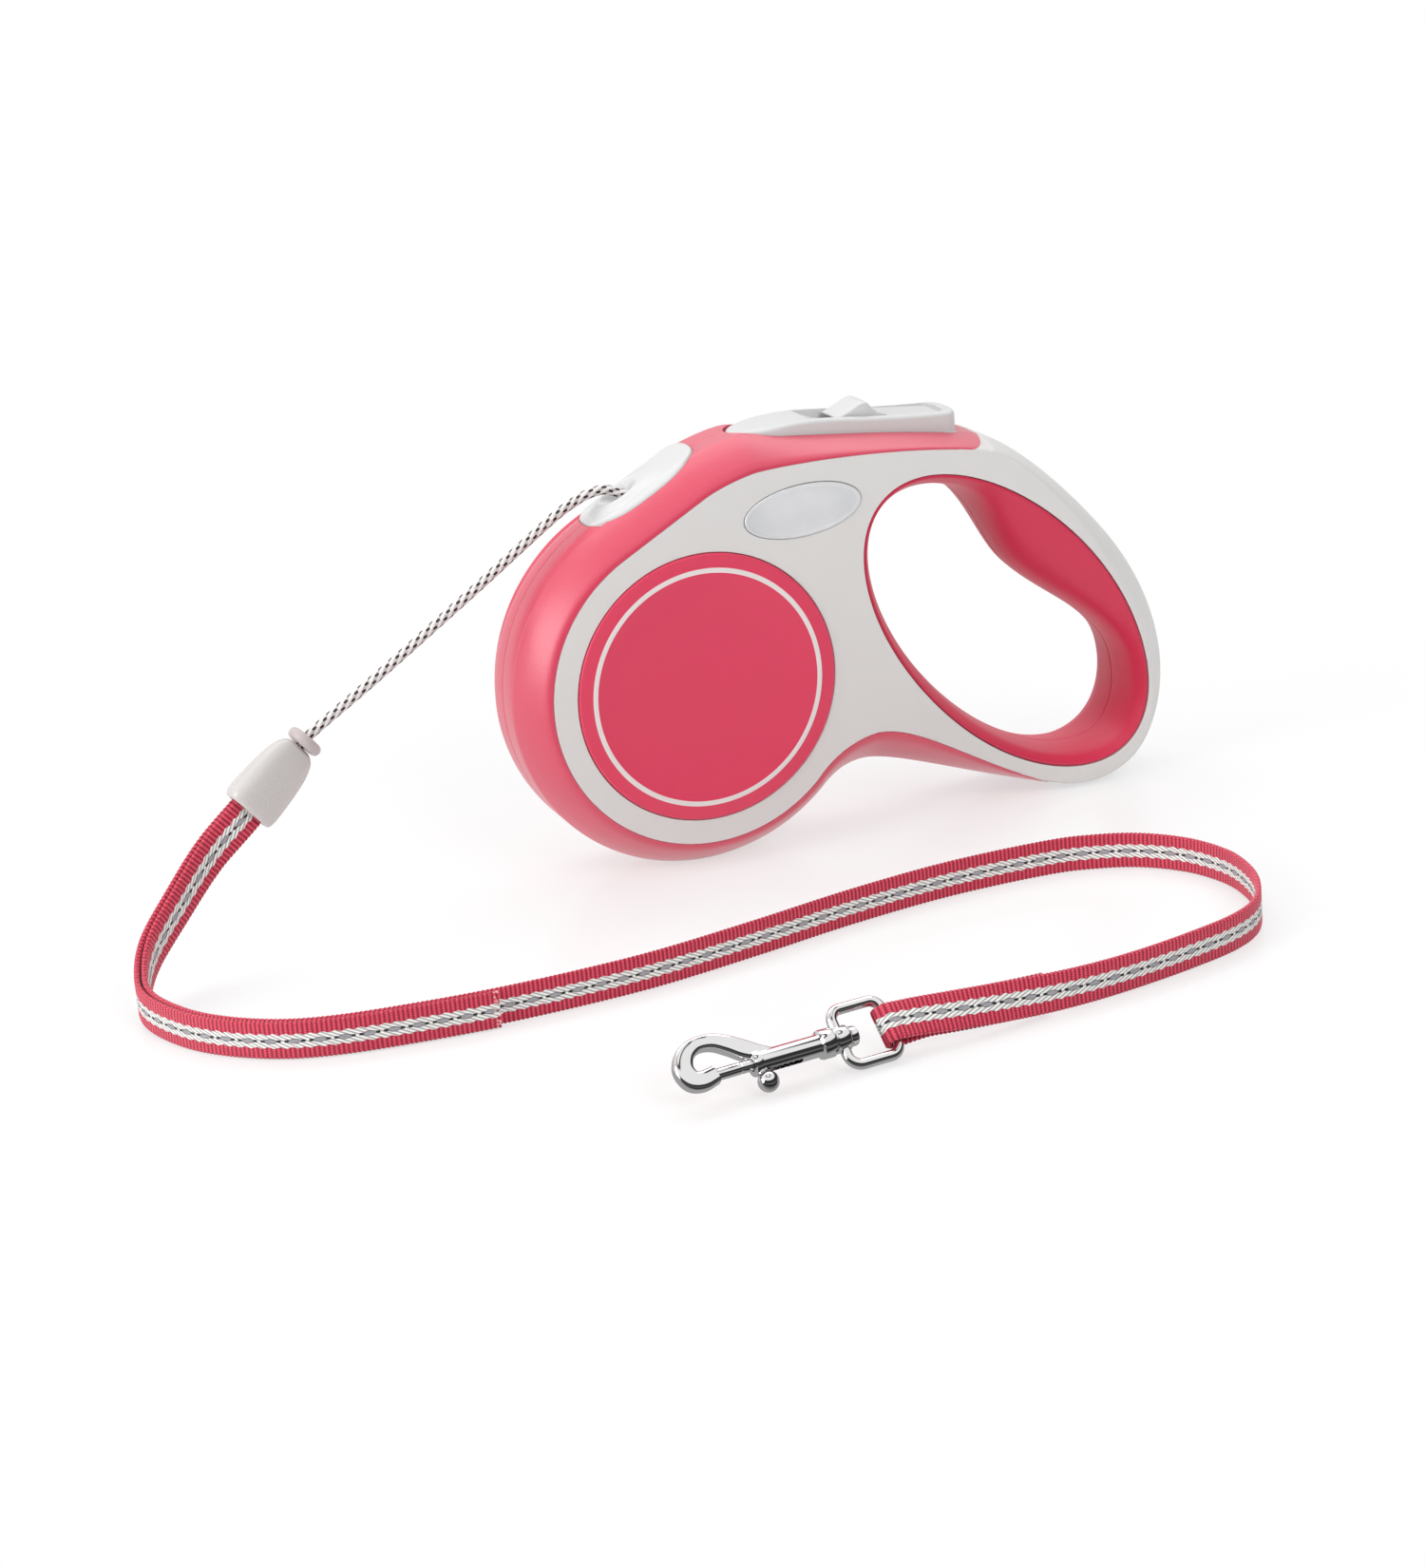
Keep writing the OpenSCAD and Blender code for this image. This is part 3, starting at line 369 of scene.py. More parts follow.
rim_width = np.array([mix(HEEL_W, WEB_W, ease(t)) for t in shares(WEB_N)]
                     + [mix(WEB_W, RIM_W, t) for t in shares(JOIN_N)]
                     + [RIM_W] * (DRUM_N + NOSE_N + FRONT_N)
                     + [mix(RIM_W, TONGUE_W, t) - 1.3 * math.sin(math.pi * t) for t in shares(TOP_N)] + [TONGUE_W])
loop_line = np.array([hermite(knee, 32 * knee_way, top_end, 36 * top_way, t) for t in shares(KNEE_N)]
                     + [oval(LOOP_C, LOOP_A, LOOP_B, mix(TOP_T, HEEL_T, t)) for t in shares(BACK_N)] + [heel])
rim_in, loop_in = inward(rim_line), inward(loop_line)


def to_hole(p, d):
    """Distance from a point of the line, along d, to the edge of the hand opening."""
    q = np.array(((p - HOLE_C) @ LONG / HOLE_A, (p - HOLE_C) @ WIDE / HOLE_B))
    e = np.array((d @ LONG / HOLE_A, d @ WIDE / HOLE_B))
    k = q @ e
    return (-k - math.sqrt(k * k - (e @ e) * (q @ q - 1))) / (e @ e)


station = np.arange(len(loop_line))
from_tongue, to_heel = station / 70, (station[-1] - station) / 78
loop_width = np.array([mix(HEEL_W, mix(TONGUE_W, min(RIM_W, to_hole(p, d) - 0.4), ease(min(1, a))), ease(min(1, b)))
                       for p, d, a, b in zip(loop_line, loop_in, from_tongue, to_heel)])


def in_case(x, y, z):
    """From the drum's axis to the shared frame."""
    return np.array((x + DRUM_X, y, z + BODY_R))


def at_y(p, y):
    """A point of the side view, at a distance y from the middle plane."""
    return in_case(p[0], y, p[1])


def on_line(p, n, section):
    """Section points (inset, y) at one station of the line."""
    return [in_case(p[0] + n[0] * s, y, p[1] + n[1] * s) for s, y in section]


def drawn_in(piece):
    """Slims a piece of the hand loop towards the loop's lower end."""
    co = np.array([v.co for v in piece.data.vertices])
    x, z = co[:, 0] / MM - DRUM_X - HOLE_C[0], co[:, 2] / MM - BODY_R - HOLE_C[1]
    down = (x * LONG[0] + z * LONG[1] + 10) / 50
    co[:, 1] *= 1 - 0.18 * ease(np.clip(down, 0, 1))
    piece.data.vertices.foreach_set("co", co.ravel())
    return closed_up(piece, fill=False)


print("rim stations:", len(rim_line), "loop stations:", len(loop_line))

# %% [markdown]
# ## The cords
# The braided cord comes out of the nozzle and runs straight to the clip, because the clip and the strap
# hang on it. About 4.8 m more of it is wound on the drum inside the case. The strap is flat webbing that
# stands on its edge on the floor: it is folded in the clip, sewn to itself after a hand's width, and folded
# round the bar of the snap hook's ring.
#
# A cord is easiest as a grid pulled round its route, because the grid brings a UV map along, and the braid
# and the weave are drawn in that map. Each layer of the strap is a ribbon of its own.

# %% Routes
def upright(d):
    return unit(np.array((0, 0, 1.0)) - d[2] * d)


def leaned(d, degrees):
    v = upright(d)
    return math.cos(math.radians(degrees)) * v + math.sin(math.radians(degrees)) * np.cross(d, v)


CORD_R, BRAID_PITCH, STRANDS = 1.1, 11.8, 8
CLIP_AT, CLIP_WAY = np.array((-127.7, -10, 44.9)), unit((-0.77, -0.10, -0.63))
CLIP_UP = upright(CLIP_WAY)
CLIP_N = np.cross(CLIP_WAY, CLIP_UP)
CLIP_L, PIN_BACK = 17.5, 6.8
nozzle_p = NOSE_MID - 3.5 * NOSE_WAY
LEAN = np.array((-math.sin(math.radians(37)), math.cos(math.radians(37))))


def from_nozzle(a, b):
    return at_y(nozzle_p + a * NOSE_WAY + b * NOSE_OUT, 0)


THROAT = [s * LEAN for s in (-27, -8, 2)] + [(-2.6, 3.2), (-4.7, 4.3), (-7.1, 5), (-9.8, 5.3)]
FREE = [(-64.7, -1.2, 81.8), (-84, -3.8, 70.3), (-108, -7, 56.4)]
CORD_POINTS = [from_nozzle(*p) for p in THROAT] + [np.array(p) for p in FREE] \
    + [CLIP_AT + s * CLIP_WAY for s in (-4, 0, 5.6)]
# the strap's centre and its lean in degrees, from the clip to the ring's bar
EDGE_Z = 4.2
ON_FLOOR = [(-167, -49), (-160.6, -58.3), (-151.5, -65.7), (-141, -69.8), (-126, -72.3), (-109.3, -73.8),
            (-91.3, -73.8), (-73.3, -72.4), (-50.3, -67.9), (-26.3, -62.5), (-2.3, -59.1), (20.3, -59.2),
            (30.7, -61.5), (39.7, -66.3), (46.7, -74.7), (50, -85), (49.7, -94.5), (46.9, -104),
            (41, -113.5), (32.5, -119.3), (20, -123.2), (7.7, -125.9)]
RUN = [(-149.8, -13, 26.4, 0), (-158.3, -16.5, 18.4, 0), (-166.3, -22, 11.2, 0), (-170.3, -29, 6.6, 0),
       (-171, -37, 4.6, 0)]
RUN += [(x, y, EDGE_Z, 0) for x, y in ON_FLOOR]
RUN += [(-3.5, -127.6, 4.3, 4), (-14.2, -128.7, 4.7, 12), (-24.5, -129.4, 5.4, 24), (-34.4, -129.9, 6.2, 34),
        (-42.5, -130.2, 6.9, 42), (-48.2, -130.6, 7.3, 46)]


def evened(line, step):
    """The same line with a point at every step millimetres."""
    line = np.asarray(line, float)
    run = travelled(line[:, :3])
    s = np.linspace(0, run[-1], max(2, int(round(run[-1] / step)) + 1))
    return np.stack([np.interp(s, run, line[:, k]) for k in range(line.shape[1])], axis=1), s


cord_line, cord_s = evened(curve_through(CORD_POINTS, 24), 0.25)
print("cord route:", round(cord_s[-1], 1), "mm")

# %% Braided cord
def braided(name, line, s, sides=28):
    """A round cord whose surface rises and falls with two sets of strands that wind against each other."""
    rows = []
    for p, d, a in zip(line, headings(line), s):
        v = upright(d)
        w = np.cross(d, v)
        row = []
        for k in range(sides):
            t = 2 * math.pi * k / sides
            wind = 2 * math.pi * STRANDS / 2 * a / BRAID_PITCH
            crown = max(math.cos(STRANDS / 2 * t + wind), math.cos(STRANDS / 2 * t - wind))
            r = CORD_R * (0.93 + 0.07 * crown)
            row.append(p + r * (math.cos(t) * v - math.sin(t) * w))
        rows.append(row)
    return laid(name, rows, smooth=60)


cord_piece = braided("braided_cord", cord_line, cord_s)
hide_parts("free_cord")
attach(cord_piece, "casing")
print("cord faces:", len(cord_piece.data.polygons))

# %% [markdown]
# ### The strap
# The strap's long run goes from the fold round the clip's pin to the fold round the ring's bar. Its two
# tails are sewn to it: one on the camera's side, from the clip's pin to the seam, and one under the run,
# from the ring's bar back to a seam of its own.

# %% Webbing
WEB_B, WEB_T, LAYER, RIB = 8.0, 1.2, 1.55, 0.95
PIN_R, SLACK = 1.1, 0.25
FOLD_R = PIN_R + SLACK + WEB_T / 2
mouth = CLIP_AT + CLIP_L * CLIP_WAY - LAYER / 2 * CLIP_N
run, run_s = evened(curve_through(np.array([(*mouth, 0)] + RUN), 16), 0.3)
run_way = headings(run[:, :3])
run_up = np.array([leaned(d, r) for d, r in zip(run_way, run[:, 3])])
run_out = np.cross(run_way, run_up)
HOOK_U = unit((-0.99, -0.11, 0))
HOOK_V = leaned(HOOK_U, 46)
HOOK_N = np.cross(HOOK_U, HOOK_V)
pin_p = CLIP_AT + (CLIP_L - PIN_BACK) * CLIP_WAY
bar_p = np.array(RUN[-1][:3]) + FOLD_R * HOOK_N


def ribbon(name, line, ups, outs, s):
    """Flat webbing: a thin rounded section whose edges are scalloped by the weft."""
    half, t = WEB_B / 2, WEB_T / 2
    rows, chart = [], []
    for p, w, n, a in zip(line, ups, outs, s):
        weft = math.cos(2 * math.pi * a / RIB)
        h = half - 0.1 + 0.10 * weft
        body = t - 0.04 + 0.04 * weft
        section = [(h, 0.25 * t), (h - 0.16, 0.75 * t), (h - 0.5, body)]
        section += [(h * k, body) for k in (0.6, 0.3, 0, -0.3, -0.6)]
        section += [(0.5 - h, body), (0.16 - h, 0.75 * t), (-h, 0.25 * t)]
        section += [(x, -y) for x, y in reversed(section)]
        rows.append([p + x * w + y * n for x, y in section])
        chart.append([(a, x) for x, y in section])
    return laid(name, rows, smooth=50, chart=np.array(chart))


def fold(centre, up, across, along, start, end, side):
    """Part of the turn round a pin, as (place, edge direction, outward direction)."""
    angles = np.linspace(math.radians(start), math.radians(end), 12)
    ways = [math.cos(a) * across - math.sin(a) * along for a in angles]
    return [(centre - FOLD_R * d, up, side * d) for d in ways]


def strap(name, stations):
    table, s = evened([np.concatenate(parts) for parts in stations], 0.3)
    piece = ribbon(name, table[:, :3], unit(table[:, 3:6]), unit(table[:, 6:9]), s)
    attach(piece, "casing")
    return piece, table[:, :3], s[-1]


def nearest(station):
    return np.argmin(np.linalg.norm(run[:, :3] - np.array(station[:3]), axis=1))


AT_PIN, AT_BAR = (pin_p, CLIP_UP, -CLIP_N, CLIP_WAY), (bar_p, HOOK_V, HOOK_N, HOOK_U)
CLIP_SEAM, HOOK_SEAM, OPENING = 10, -5, 9
long_run = list(zip(run[:, :3], run_up, run_out))
long_run = fold(*AT_PIN, 100, 180, 1) + long_run + fold(*AT_BAR, 0, 80, 1)[1:]
web_main, main_line, main_l = strap("webbing_run", long_run)
keep = run_s <= run_s[nearest(RUN[CLIP_SEAM])]
tail = [(p + LAYER * n, w, n) for p, w, n in zip(run[keep, :3], run_up[keep], run_out[keep])]
web_tail, tail_line, tail_l = strap("webbing_clip_tail", fold(*AT_PIN, 80, 0, -1) + tail)
under = []
for k in range(len(run) - 1, nearest(RUN[HOOK_SEAM]) - 1, -1):
    gap = mix(LAYER, 2 * FOLD_R, ease(max(0, 1 - (run_s[-1] - run_s[k]) / OPENING)))
    under.append((run[k, :3] + gap * run_out[k], run_up[k], run_out[k]))
web_back, _, back_l = strap("webbing_hook_tail", fold(*AT_BAR, 100, 180, -1) + under)
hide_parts("webbing")
print("webbing: run %.0f, clip tail %.0f, hook tail %.0f mm" % (main_l, tail_l, back_l))

# %% [markdown]
# ## Finishes
# Every finish is a node material on Object coordinates, or on the piece's own UV map where a pattern
# follows the piece. Writing `1 - mask` is easier to read than four node calls, so a small class wraps a
# socket and turns Python's operators into Math nodes.
#
# `Finish` holds a material's node tree, and its method `node` adds any node: the settings come first, and
# then the values or links of its sockets. The world's light is drawn with it too.

# %% Shader arithmetic
class Signal:
    """A socket that can be used in Python arithmetic."""

    def __init__(self, finish, socket):
        self.finish, self.socket = finish, socket

    def _math(self, operation, *values):
        return self.finish.node("ShaderNodeMath", {"operation": operation}, dict(enumerate(values)))

    def __add__(self, other): return self._math("ADD", self, other)
    def __radd__(self, other): return self._math("ADD", other, self)
    def __sub__(self, other): return self._math("SUBTRACT", self, other)
    def __rsub__(self, other): return self._math("SUBTRACT", other, self)
    def __mul__(self, other): return self._math("MULTIPLY", self, other)
    def __rmul__(self, other): return self._math("MULTIPLY", other, self)
    def __truediv__(self, other): return self._math("DIVIDE", self, other)
    def __pow__(self, other): return self._math("POWER", self, other)
    def __abs__(self): return self._math("ABSOLUTE", self)
    def __gt__(self, other): return self._math("GREATER_THAN", self, other)
    def __lt__(self, other): return self._math("LESS_THAN", self, other)
    def sine(self): return self._math("SINE", self)
    def wave(self): return 0.5 + 0.5 * self.sine()
    def fract(self): return self._math("FRACT", self)
    def largest(self, other): return self._math("MAXIMUM", self, other)
    def clamped(self): return self.finish.node("ShaderNodeClamp", {}, {0: self})

    def ramped(self, low, high, **more):
        """A smooth rise from 0 at low to 1 at high, or between the values in more."""
        sockets = {"Value": self, "From Min": low, "From Max": high}
        sockets.update({key.replace("_", " "): value for key, value in more.items()})
        return self.finish.node("ShaderNodeMapRange", {"interpolation_type": "SMOOTHSTEP"}, sockets)

    def within(self, low, high, soft):
        """1 where the value lies between low and high, with soft edges."""
        return self.ramped(low - soft, low + soft) * (1 - self.ramped(high - soft, high + soft))

    def toned(self, stops):
        """A colour ramp over the value."""
        return self.finish.node("ShaderNodeValToRGB", {"stops": stops}, {"Fac": self})


class Finish:
    """The nodes of a new material, or of the world. Values that are the same all over are set on the
    shader's own sockets."""

    def __init__(self, name, owner=None, shader="Principled BSDF", **fixed):
        self.owner = owner or bpy.data.materials.new(name)
        self.owner.use_nodes = True
        self.tree = self.owner.node_tree
        self.shader = self.tree.nodes[shader]
        for key, value in fixed.items():
            self.shader.inputs[key.replace("_", " ")].default_value = value

    def node(self, kind, settings, sockets, want=0):
        made = self.tree.nodes.new(kind)
        for key, value in settings.items():
            if key == "stops":
                ramp = made.color_ramp
                while len(ramp.elements) < len(value):
                    ramp.elements.new(0.5)
                for element, (place, colour) in zip(ramp.elements, value):
                    element.position, element.color = place, (*colour, 1)
            else:
                setattr(made, key, value)
        for key, value in sockets.items():
            if isinstance(value, Signal):
                self.tree.links.new(value.socket, made.inputs[key])
            else:
                made.inputs[key].default_value = value
        return Signal(self, made.outputs[want])

    def place(self, kind="Object"):
        return self.node("ShaderNodeTexCoord", {}, {}, kind)

    def ray(self, kind):
        return self.node("ShaderNodeLightPath", {}, {}, "Is %s Ray" % kind)

    def axes(self, vector):
        return [self.node("ShaderNodeSeparateXYZ", {}, {0: vector}, k) for k in range(3)]

    def noise(self, scale, detail=2.0, rough=0.5):
        sockets = {"Vector": self.place(), "Scale": scale, "Detail": detail, "Roughness": rough}
        return self.node("ShaderNodeTexNoise", {}, sockets, "Fac")

    def blend(self, factor, a, b):
        a, b = (c if isinstance(c, Signal) else (*c, 1) for c in (a, b))
        return self.node("ShaderNodeMix", {"data_type": "RGBA"}, {"Factor": factor, 6: a, 7: b}, 2)

    def bump(self, height, strength, distance):
        sockets = {"Height": height, "Strength": strength, "Distance": distance * MM}
        return self.node("ShaderNodeBump", {}, sockets)

    def feed(self, **links):
        for key, value in links.items():
            self.tree.links.new(value.socket, self.shader.inputs[key.replace("_", " ")])
        return self.owner


def srgb(*colour):
    """A colour as a screen shows it, 0 to 255, in the linear values that shaders use."""
    return tuple((c / 255 / 12.92) if c <= 10 else ((c / 255 + 0.055) / 1.055) ** 2.4 for c in colour)


def greys(*stops):
    return [(place, (level, level, level)) for place, level in stops]


print("shader arithmetic ready")

# %% [markdown]
# ### Moulded plastics
# The grey panels, the red rim and the soft lining are all moulded, with a fine spark-eroded grain that
# breaks the highlight into tiny points. The grain is a small bump, and its roughness varies a little,
# because no moulding is quite even.
#
# The red disc takes a thin pale ring from the distance to the drum axis.

# %% Plastics
def moulded(name, colour, rough, grain, coat=0.0, shift=0.04, bump=0.25, sheen=0.0, ior=1.48):
    f = Finish(name, Coat_Weight=coat, Coat_Roughness=0.38, IOR=ior, Sheen_Weight=sheen, Sheen_Roughness=0.4)
    fine, broad = f.noise(grain, 3, 0.6), f.noise(60, 2)
    light = tuple(min(1, c * (1 + shift)) for c in colour)
    deep = tuple(c * (1 - shift) for c in colour)
    tone = f.blend(broad * 0.7 + fine * 0.3, deep, light)
    return f, tone, rough - 0.05 + 0.06 * broad + 0.06 * fine, f.bump(fine, bump, 0.06)


def plain_plastic(name, colour, rough, grain, **kind):
    f, tone, gloss, normal = moulded(name, colour, rough, grain, **kind)
    return f.feed(Base_Color=tone, Roughness=gloss, Normal=normal)


RED, DISC_RED, DEEP_RED = srgb(213, 58, 88), srgb(225, 68, 98), srgb(210, 50, 82)
GREY, PALE, INNER = srgb(221, 220, 218), srgb(213, 213, 213), srgb(62, 62, 66)
CLIP_GREY, BEAD_GREY, RING_PALE = srgb(202, 198, 196), srgb(190, 179, 178), srgb(232, 226, 224)
RING_R = (25.7, 26.8)
rim_red = plain_plastic("rim_red_moulded", RED, 0.42, 2300, bump=0.9, sheen=0.2, ior=1.7, coat=0.5)
grip_red = plain_plastic("grip_red_soft", DEEP_RED, 0.43, 3000, bump=0.4, ior=1.5)
case_grey = plain_plastic("case_grey_moulded", GREY, 0.42, 4200, shift=0.02)
pale_plastic = plain_plastic("nozzle_pale_gloss", PALE, 0.36, 2600, shift=0.015, bump=0.08)
clip_grey = plain_plastic("clip_grey_gloss", CLIP_GREY, 0.26, 2200, shift=0.02, bump=0.08)
bead_grey = plain_plastic("bead_warm_grey", BEAD_GREY, 0.34, 2200, shift=0.02, bump=0.08)
inner_plastic = plain_plastic("inner_dark_moulded", INNER, 0.45, 3000)


def ringed_cover():
    f, tone, gloss, normal = moulded("cover_red_ringed", DISC_RED, 0.38, 4600, bump=0.22)
    x, _, z = f.axes(f.place())
    across, high = (x - DRUM_X * MM) * 1000, (z - BODY_R * MM) * 1000
    line = ((across * across + high * high) ** 0.5).within(*RING_R, 0.05)
    return f.feed(Base_Color=f.blend(line, tone, RING_PALE), Roughness=gloss, Normal=normal)


def badge_pearl():
    f = Finish("badge_pearl", Metallic=0.15, Coat_Weight=0.8, Coat_Roughness=0.05)
    silk, fine = f.noise(90, 3), f.noise(1500, 2)
    tone = silk.toned([(0.3, srgb(224, 227, 230)), (0.55, srgb(236, 238, 240)), (0.75, srgb(244, 245, 246))])
    return f.feed(Base_Color=tone, Roughness=0.2 + 0.08 * fine, Normal=f.bump(fine, 0.05, 0.03))


cover_red, badge_white = ringed_cover(), badge_pearl()
print("plastics:", [m.name for m in (rim_red, grip_red, case_grey, pale_plastic, clip_grey, cover_red, badge_white)])

# %% [markdown]
# ### Metal, braid and weave
# The snap hook is bright chrome: a smooth metal with faint polishing marks. The cord is a white braid with
# dark tracer threads, and the strap a red ribbed weave with a pale chain of reflective thread along its
# middle.
#
# Braid and weave read the UV map that came with the grid. On the cord u runs along and v round, both from 0
# to 1. On the strap the map is in millimetres already: u along it, and v across from its middle.

# %% Metals
def metal(name, colour, rough, marks, bump=0.03):
    f = Finish(name, Metallic=1.0)
    smear, fine = f.noise(140, 3), f.noise(marks, 2)
    tone = f.blend(smear, tuple(c * 0.93 for c in colour), colour)
    return f.feed(Base_Color=tone, Roughness=rough + 0.05 * smear + 0.02 * fine, Normal=f.bump(fine, bump, 0.02))


chrome = metal("hook_chrome", (0.86, 0.85, 0.85), 0.04, 900)
steel = metal("pin_steel", (0.55, 0.56, 0.58), 0.24, 1800, bump=0.08)
print("metals:", chrome.name, steel.name)

# %% Braid
def braid(length_mm):
    f = Finish("cord_braid", Sheen_Weight=0.15)
    u, v, _ = f.axes(f.place("UV"))
    a, t = u * length_mm, v * (2 * math.pi)
    wind = 2 * math.pi * STRANDS / 2 / BRAID_PITCH
    one, two = (t * (STRANDS / 2) + a * wind).sine(), (t * (STRANDS / 2) - a * wind).sine()
    tracer = (one - two).within(0.75, 9, 0.15)
    crown = one.largest(two)
    thread = f.noise(5200, 2)
    white = f.blend(thread, srgb(226, 220, 218), srgb(250, 248, 246))
    dark = f.blend(thread, srgb(34, 24, 25), srgb(72, 54, 54))
    base = f.blend(tracer, white, dark)
    # painted shade: the cord's colour turns grey-brown in the valleys between the strands, where shade falls
    painted_valley_shade = f.blend((0.55 - crown).clamped() * 0.55, base, srgb(120, 106, 108))
    normal = f.bump(crown * 0.6 + thread * 0.3, 0.7, 0.18)
    return f.feed(Base_Color=painted_valley_shade, Roughness=0.72 + 0.1 * thread, Normal=normal)


cord_piece.data.materials.append(braid(cord_s[-1]))
print("braid over", round(cord_s[-1]), "mm")

# %% Weave
CHAIN = 4.9


def weave(name, end):
    """Red ribs with a chain of pale thread along the middle. The last millimetre and a half before end is frayed."""
    f = Finish(name, Sheen_Weight=0.2)
    a, w, _ = f.axes(f.place("UV"))
    rib = (a * (2 * math.pi / RIB)).wave()
    warp = (w * (2 * math.pi / 0.5) + (a * (math.pi / RIB)).sine() * 1.5).wave()
    fuzz = f.noise(2600, 3)
    # painted highlight on the crests of the ribs, and painted shade in the gaps between them
    painted_rib_light_and_shade = (rib * 0.5 + rib * warp * 0.55 + fuzz * 0.3 - 0.15).clamped()
    red = f.blend(painted_rib_light_and_shade, srgb(146, 16, 42), srgb(246, 88, 114))
    # the chain: two twisted ropes that part round a grey spindle and close again
    from_middle = abs((a / CHAIN).fract() - 0.5) * CHAIN
    stripe = 1 - abs(w).within(1.42 + 0.16 * (a * (2 * math.pi / (CHAIN / 2))).sine(), 9, 0.06)
    twist = ((a + w * 2.0) * (2 * math.pi / 1.5)).wave() ** 0.4
    # painted shade: the thread turns dark grey in the low grooves between the twisted strands
    thread = f.blend(twist * 0.9 + fuzz * 0.1, srgb(98, 97, 96), srgb(252, 251, 248))
    lens = 0.4 - from_middle * from_middle * 0.21
    spindle = (1 - abs(w).within(lens, 9, 0.05)) * (from_middle < 1.5)
    gap = (1 - abs(w).within(0.26, 9, 0.05)) * from_middle.within(1.25, 2.1, 0.1)
    outline = abs(w).within(lens, lens + 0.16, 0.05) * (from_middle < 1.5)
    pale = f.blend(spindle, thread, f.blend(fuzz, srgb(126, 124, 130), srgb(182, 180, 186)))
    pale = f.blend((gap + outline * 0.85).clamped(), pale, srgb(26, 23, 25))
    fray = a.within(end - 1.3, end + 9, 0.3) * (f.noise(1900, 2) > 0.54)
    tone = f.blend(fray * 0.6, f.blend(stripe, red, pale), srgb(250, 206, 208))
    ribs, ropes = rib * 0.5 + rib * warp * 0.4, 0.5 + twist * 0.4 - spindle * 0.35 - gap * 0.5
    height = (1 - stripe) * ribs + stripe * ropes + fuzz * 0.12
    return f.feed(Base_Color=tone, Roughness=0.78 - 0.18 * stripe, Normal=f.bump(height, 0.8, 0.22))


# the long run has no cut end in sight, so its fray is put past its end
for piece, end in ((web_main, 2 * main_l), (web_tail, tail_l), (web_back, back_l)):
    piece.data.materials.append(weave(piece.name.replace("webbing", "weave"), end))
print("weave on", web_main.name, web_tail.name, web_back.name)

# %% [markdown]
# ## The rim
# The red rim is a moulded band that wraps the edge of the case: flat across the middle, with a rounded
# shoulder down to the grey panel on each side. It is two halves that meet in a fine parting line on the
# middle plane. Behind the button it ends in a rounded tongue, and under the web it runs out thin. Below the
# nozzle a soft crease runs beside the middle band, and fades down the front of the drum.
#
# A section with its own thickness is pulled along the outline. The slot for the button and the seat of the
# nozzle are then cut out of it.

# %% Rim section
SHOULDER = [(0, 0.4), (0.22, 0.605), (0.44, 0.765), (0.62, 0.875), (0.75, 0.943), (0.87, 0.983), (1, 1)]
SKIN_T, GROOVE = 1.6, 0.18
shoulder_curve = curve_through(SHOULDER, 5)


def skin(w, share, crease):
    """One closed section of the rim: outside from the middle plane to share of the way to its edge, and back
    inside."""
    band = [(0, 0.0), (0, 0.22), (0, 0.5), (0, 3.0)]
    band += [(0.18 * crease, 4.6), (0.6 * crease, 5.4), (0.03 + 0.8 * crease, 5.9)]
    outer = np.array(band + [(w * a + 0.06, HALF_T * b) for a, b in shoulder_curve[1:]])
    arc = travelled(outer)
    outer = np.stack([np.interp(arc * share, arc, outer[:, k]) for k in (0, 1)], axis=1)
    way = headings(outer)
    inner = outer + SKIN_T * np.stack([way[:, 1], -way[:, 0]], axis=1)
    inner[:, 1] = np.minimum(inner[:, 1], outer[:, 1])
    outer[0, 0] += GROOVE
    outer[1, 0] += 0.02
    lip = outer[-1] + 0.3 * SKIN_T * np.array((way[-1][1], -way[-1][0])) + 0.06 * way[-1]
    return np.concatenate([outer, [lip], inner[::-1]])


def run_out_to(distance, length):
    """The share of the section that is left where the rim rounds off to its end."""
    return np.sqrt(np.maximum(0.0004, 1 - ((length - distance) / length) ** 2))


def rim_half():
    gone = travelled(rim_line)
    left = gone[-1] - gone
    tongue, tail_end = 6, 10
    share = np.where(left < tongue, run_out_to(left, tongue), 1.0)
    share = np.where(gone < tail_end, np.minimum(share, run_out_to(gone, tail_end)), share)
    below_nozzle = np.argmin(np.linalg.norm(rim_line - (NOSE_MID - 12 * NOSE_WAY), axis=1))
    past = gone - gone[below_nozzle]
    crease = np.where(past < 20, np.clip((past + 52) / 40, 0, 1), 0)
    stations = zip(rim_line, rim_in, rim_width, share, crease)
    return laid("rim_right", [on_line(p, n, skin(w, k, c)) for p, n, w, k, c in stations])


print("section points:", len(skin(RIM_W, 1.0, 0.0)))

# %% Rim halves
BUTTON_W, BUTTON_F, BUTTON_R = 6.7, 11, 3.4
BUTTON_X = (CREST[0] + 8.4, CREST[0] + 47.4)
NOZZLE_A, NOZZLE_B = 14.4, 8.2


def button_plan(gap):
    """The button seen from above: a long dome in front and a blunt round end."""
    w, f, r, (xf, xr) = BUTTON_W + gap, BUTTON_F + gap, BUTTON_R + gap, BUTTON_X
    q = np.radians(np.linspace(0, 90, 25))
    front = [(xf - f * math.sin(a), w * math.cos(a)) for a in q[:-1]]
    front += [(xf - f * math.cos(a), -w * math.sin(a)) for a in q]
    rear = [(xr + r * math.sin(a) ** 0.7, -w * math.cos(a) ** 0.7) for a in q[:-1]]
    rear += [(xr + r * math.cos(a) ** 0.7, w * math.sin(a) ** 0.7) for a in q]
    return front + rear


def on_nose(x, y, z):
    return at_y(NOSE_MID + x * NOSE_WAY + z * NOSE_OUT, y)


def nozzle_plan(gap, z):
    a, b = NOZZLE_A + gap, NOZZLE_B + gap
    return [on_nose(a * full(math.cos(t)), b * full(math.sin(t)), z) for t in around(72)]


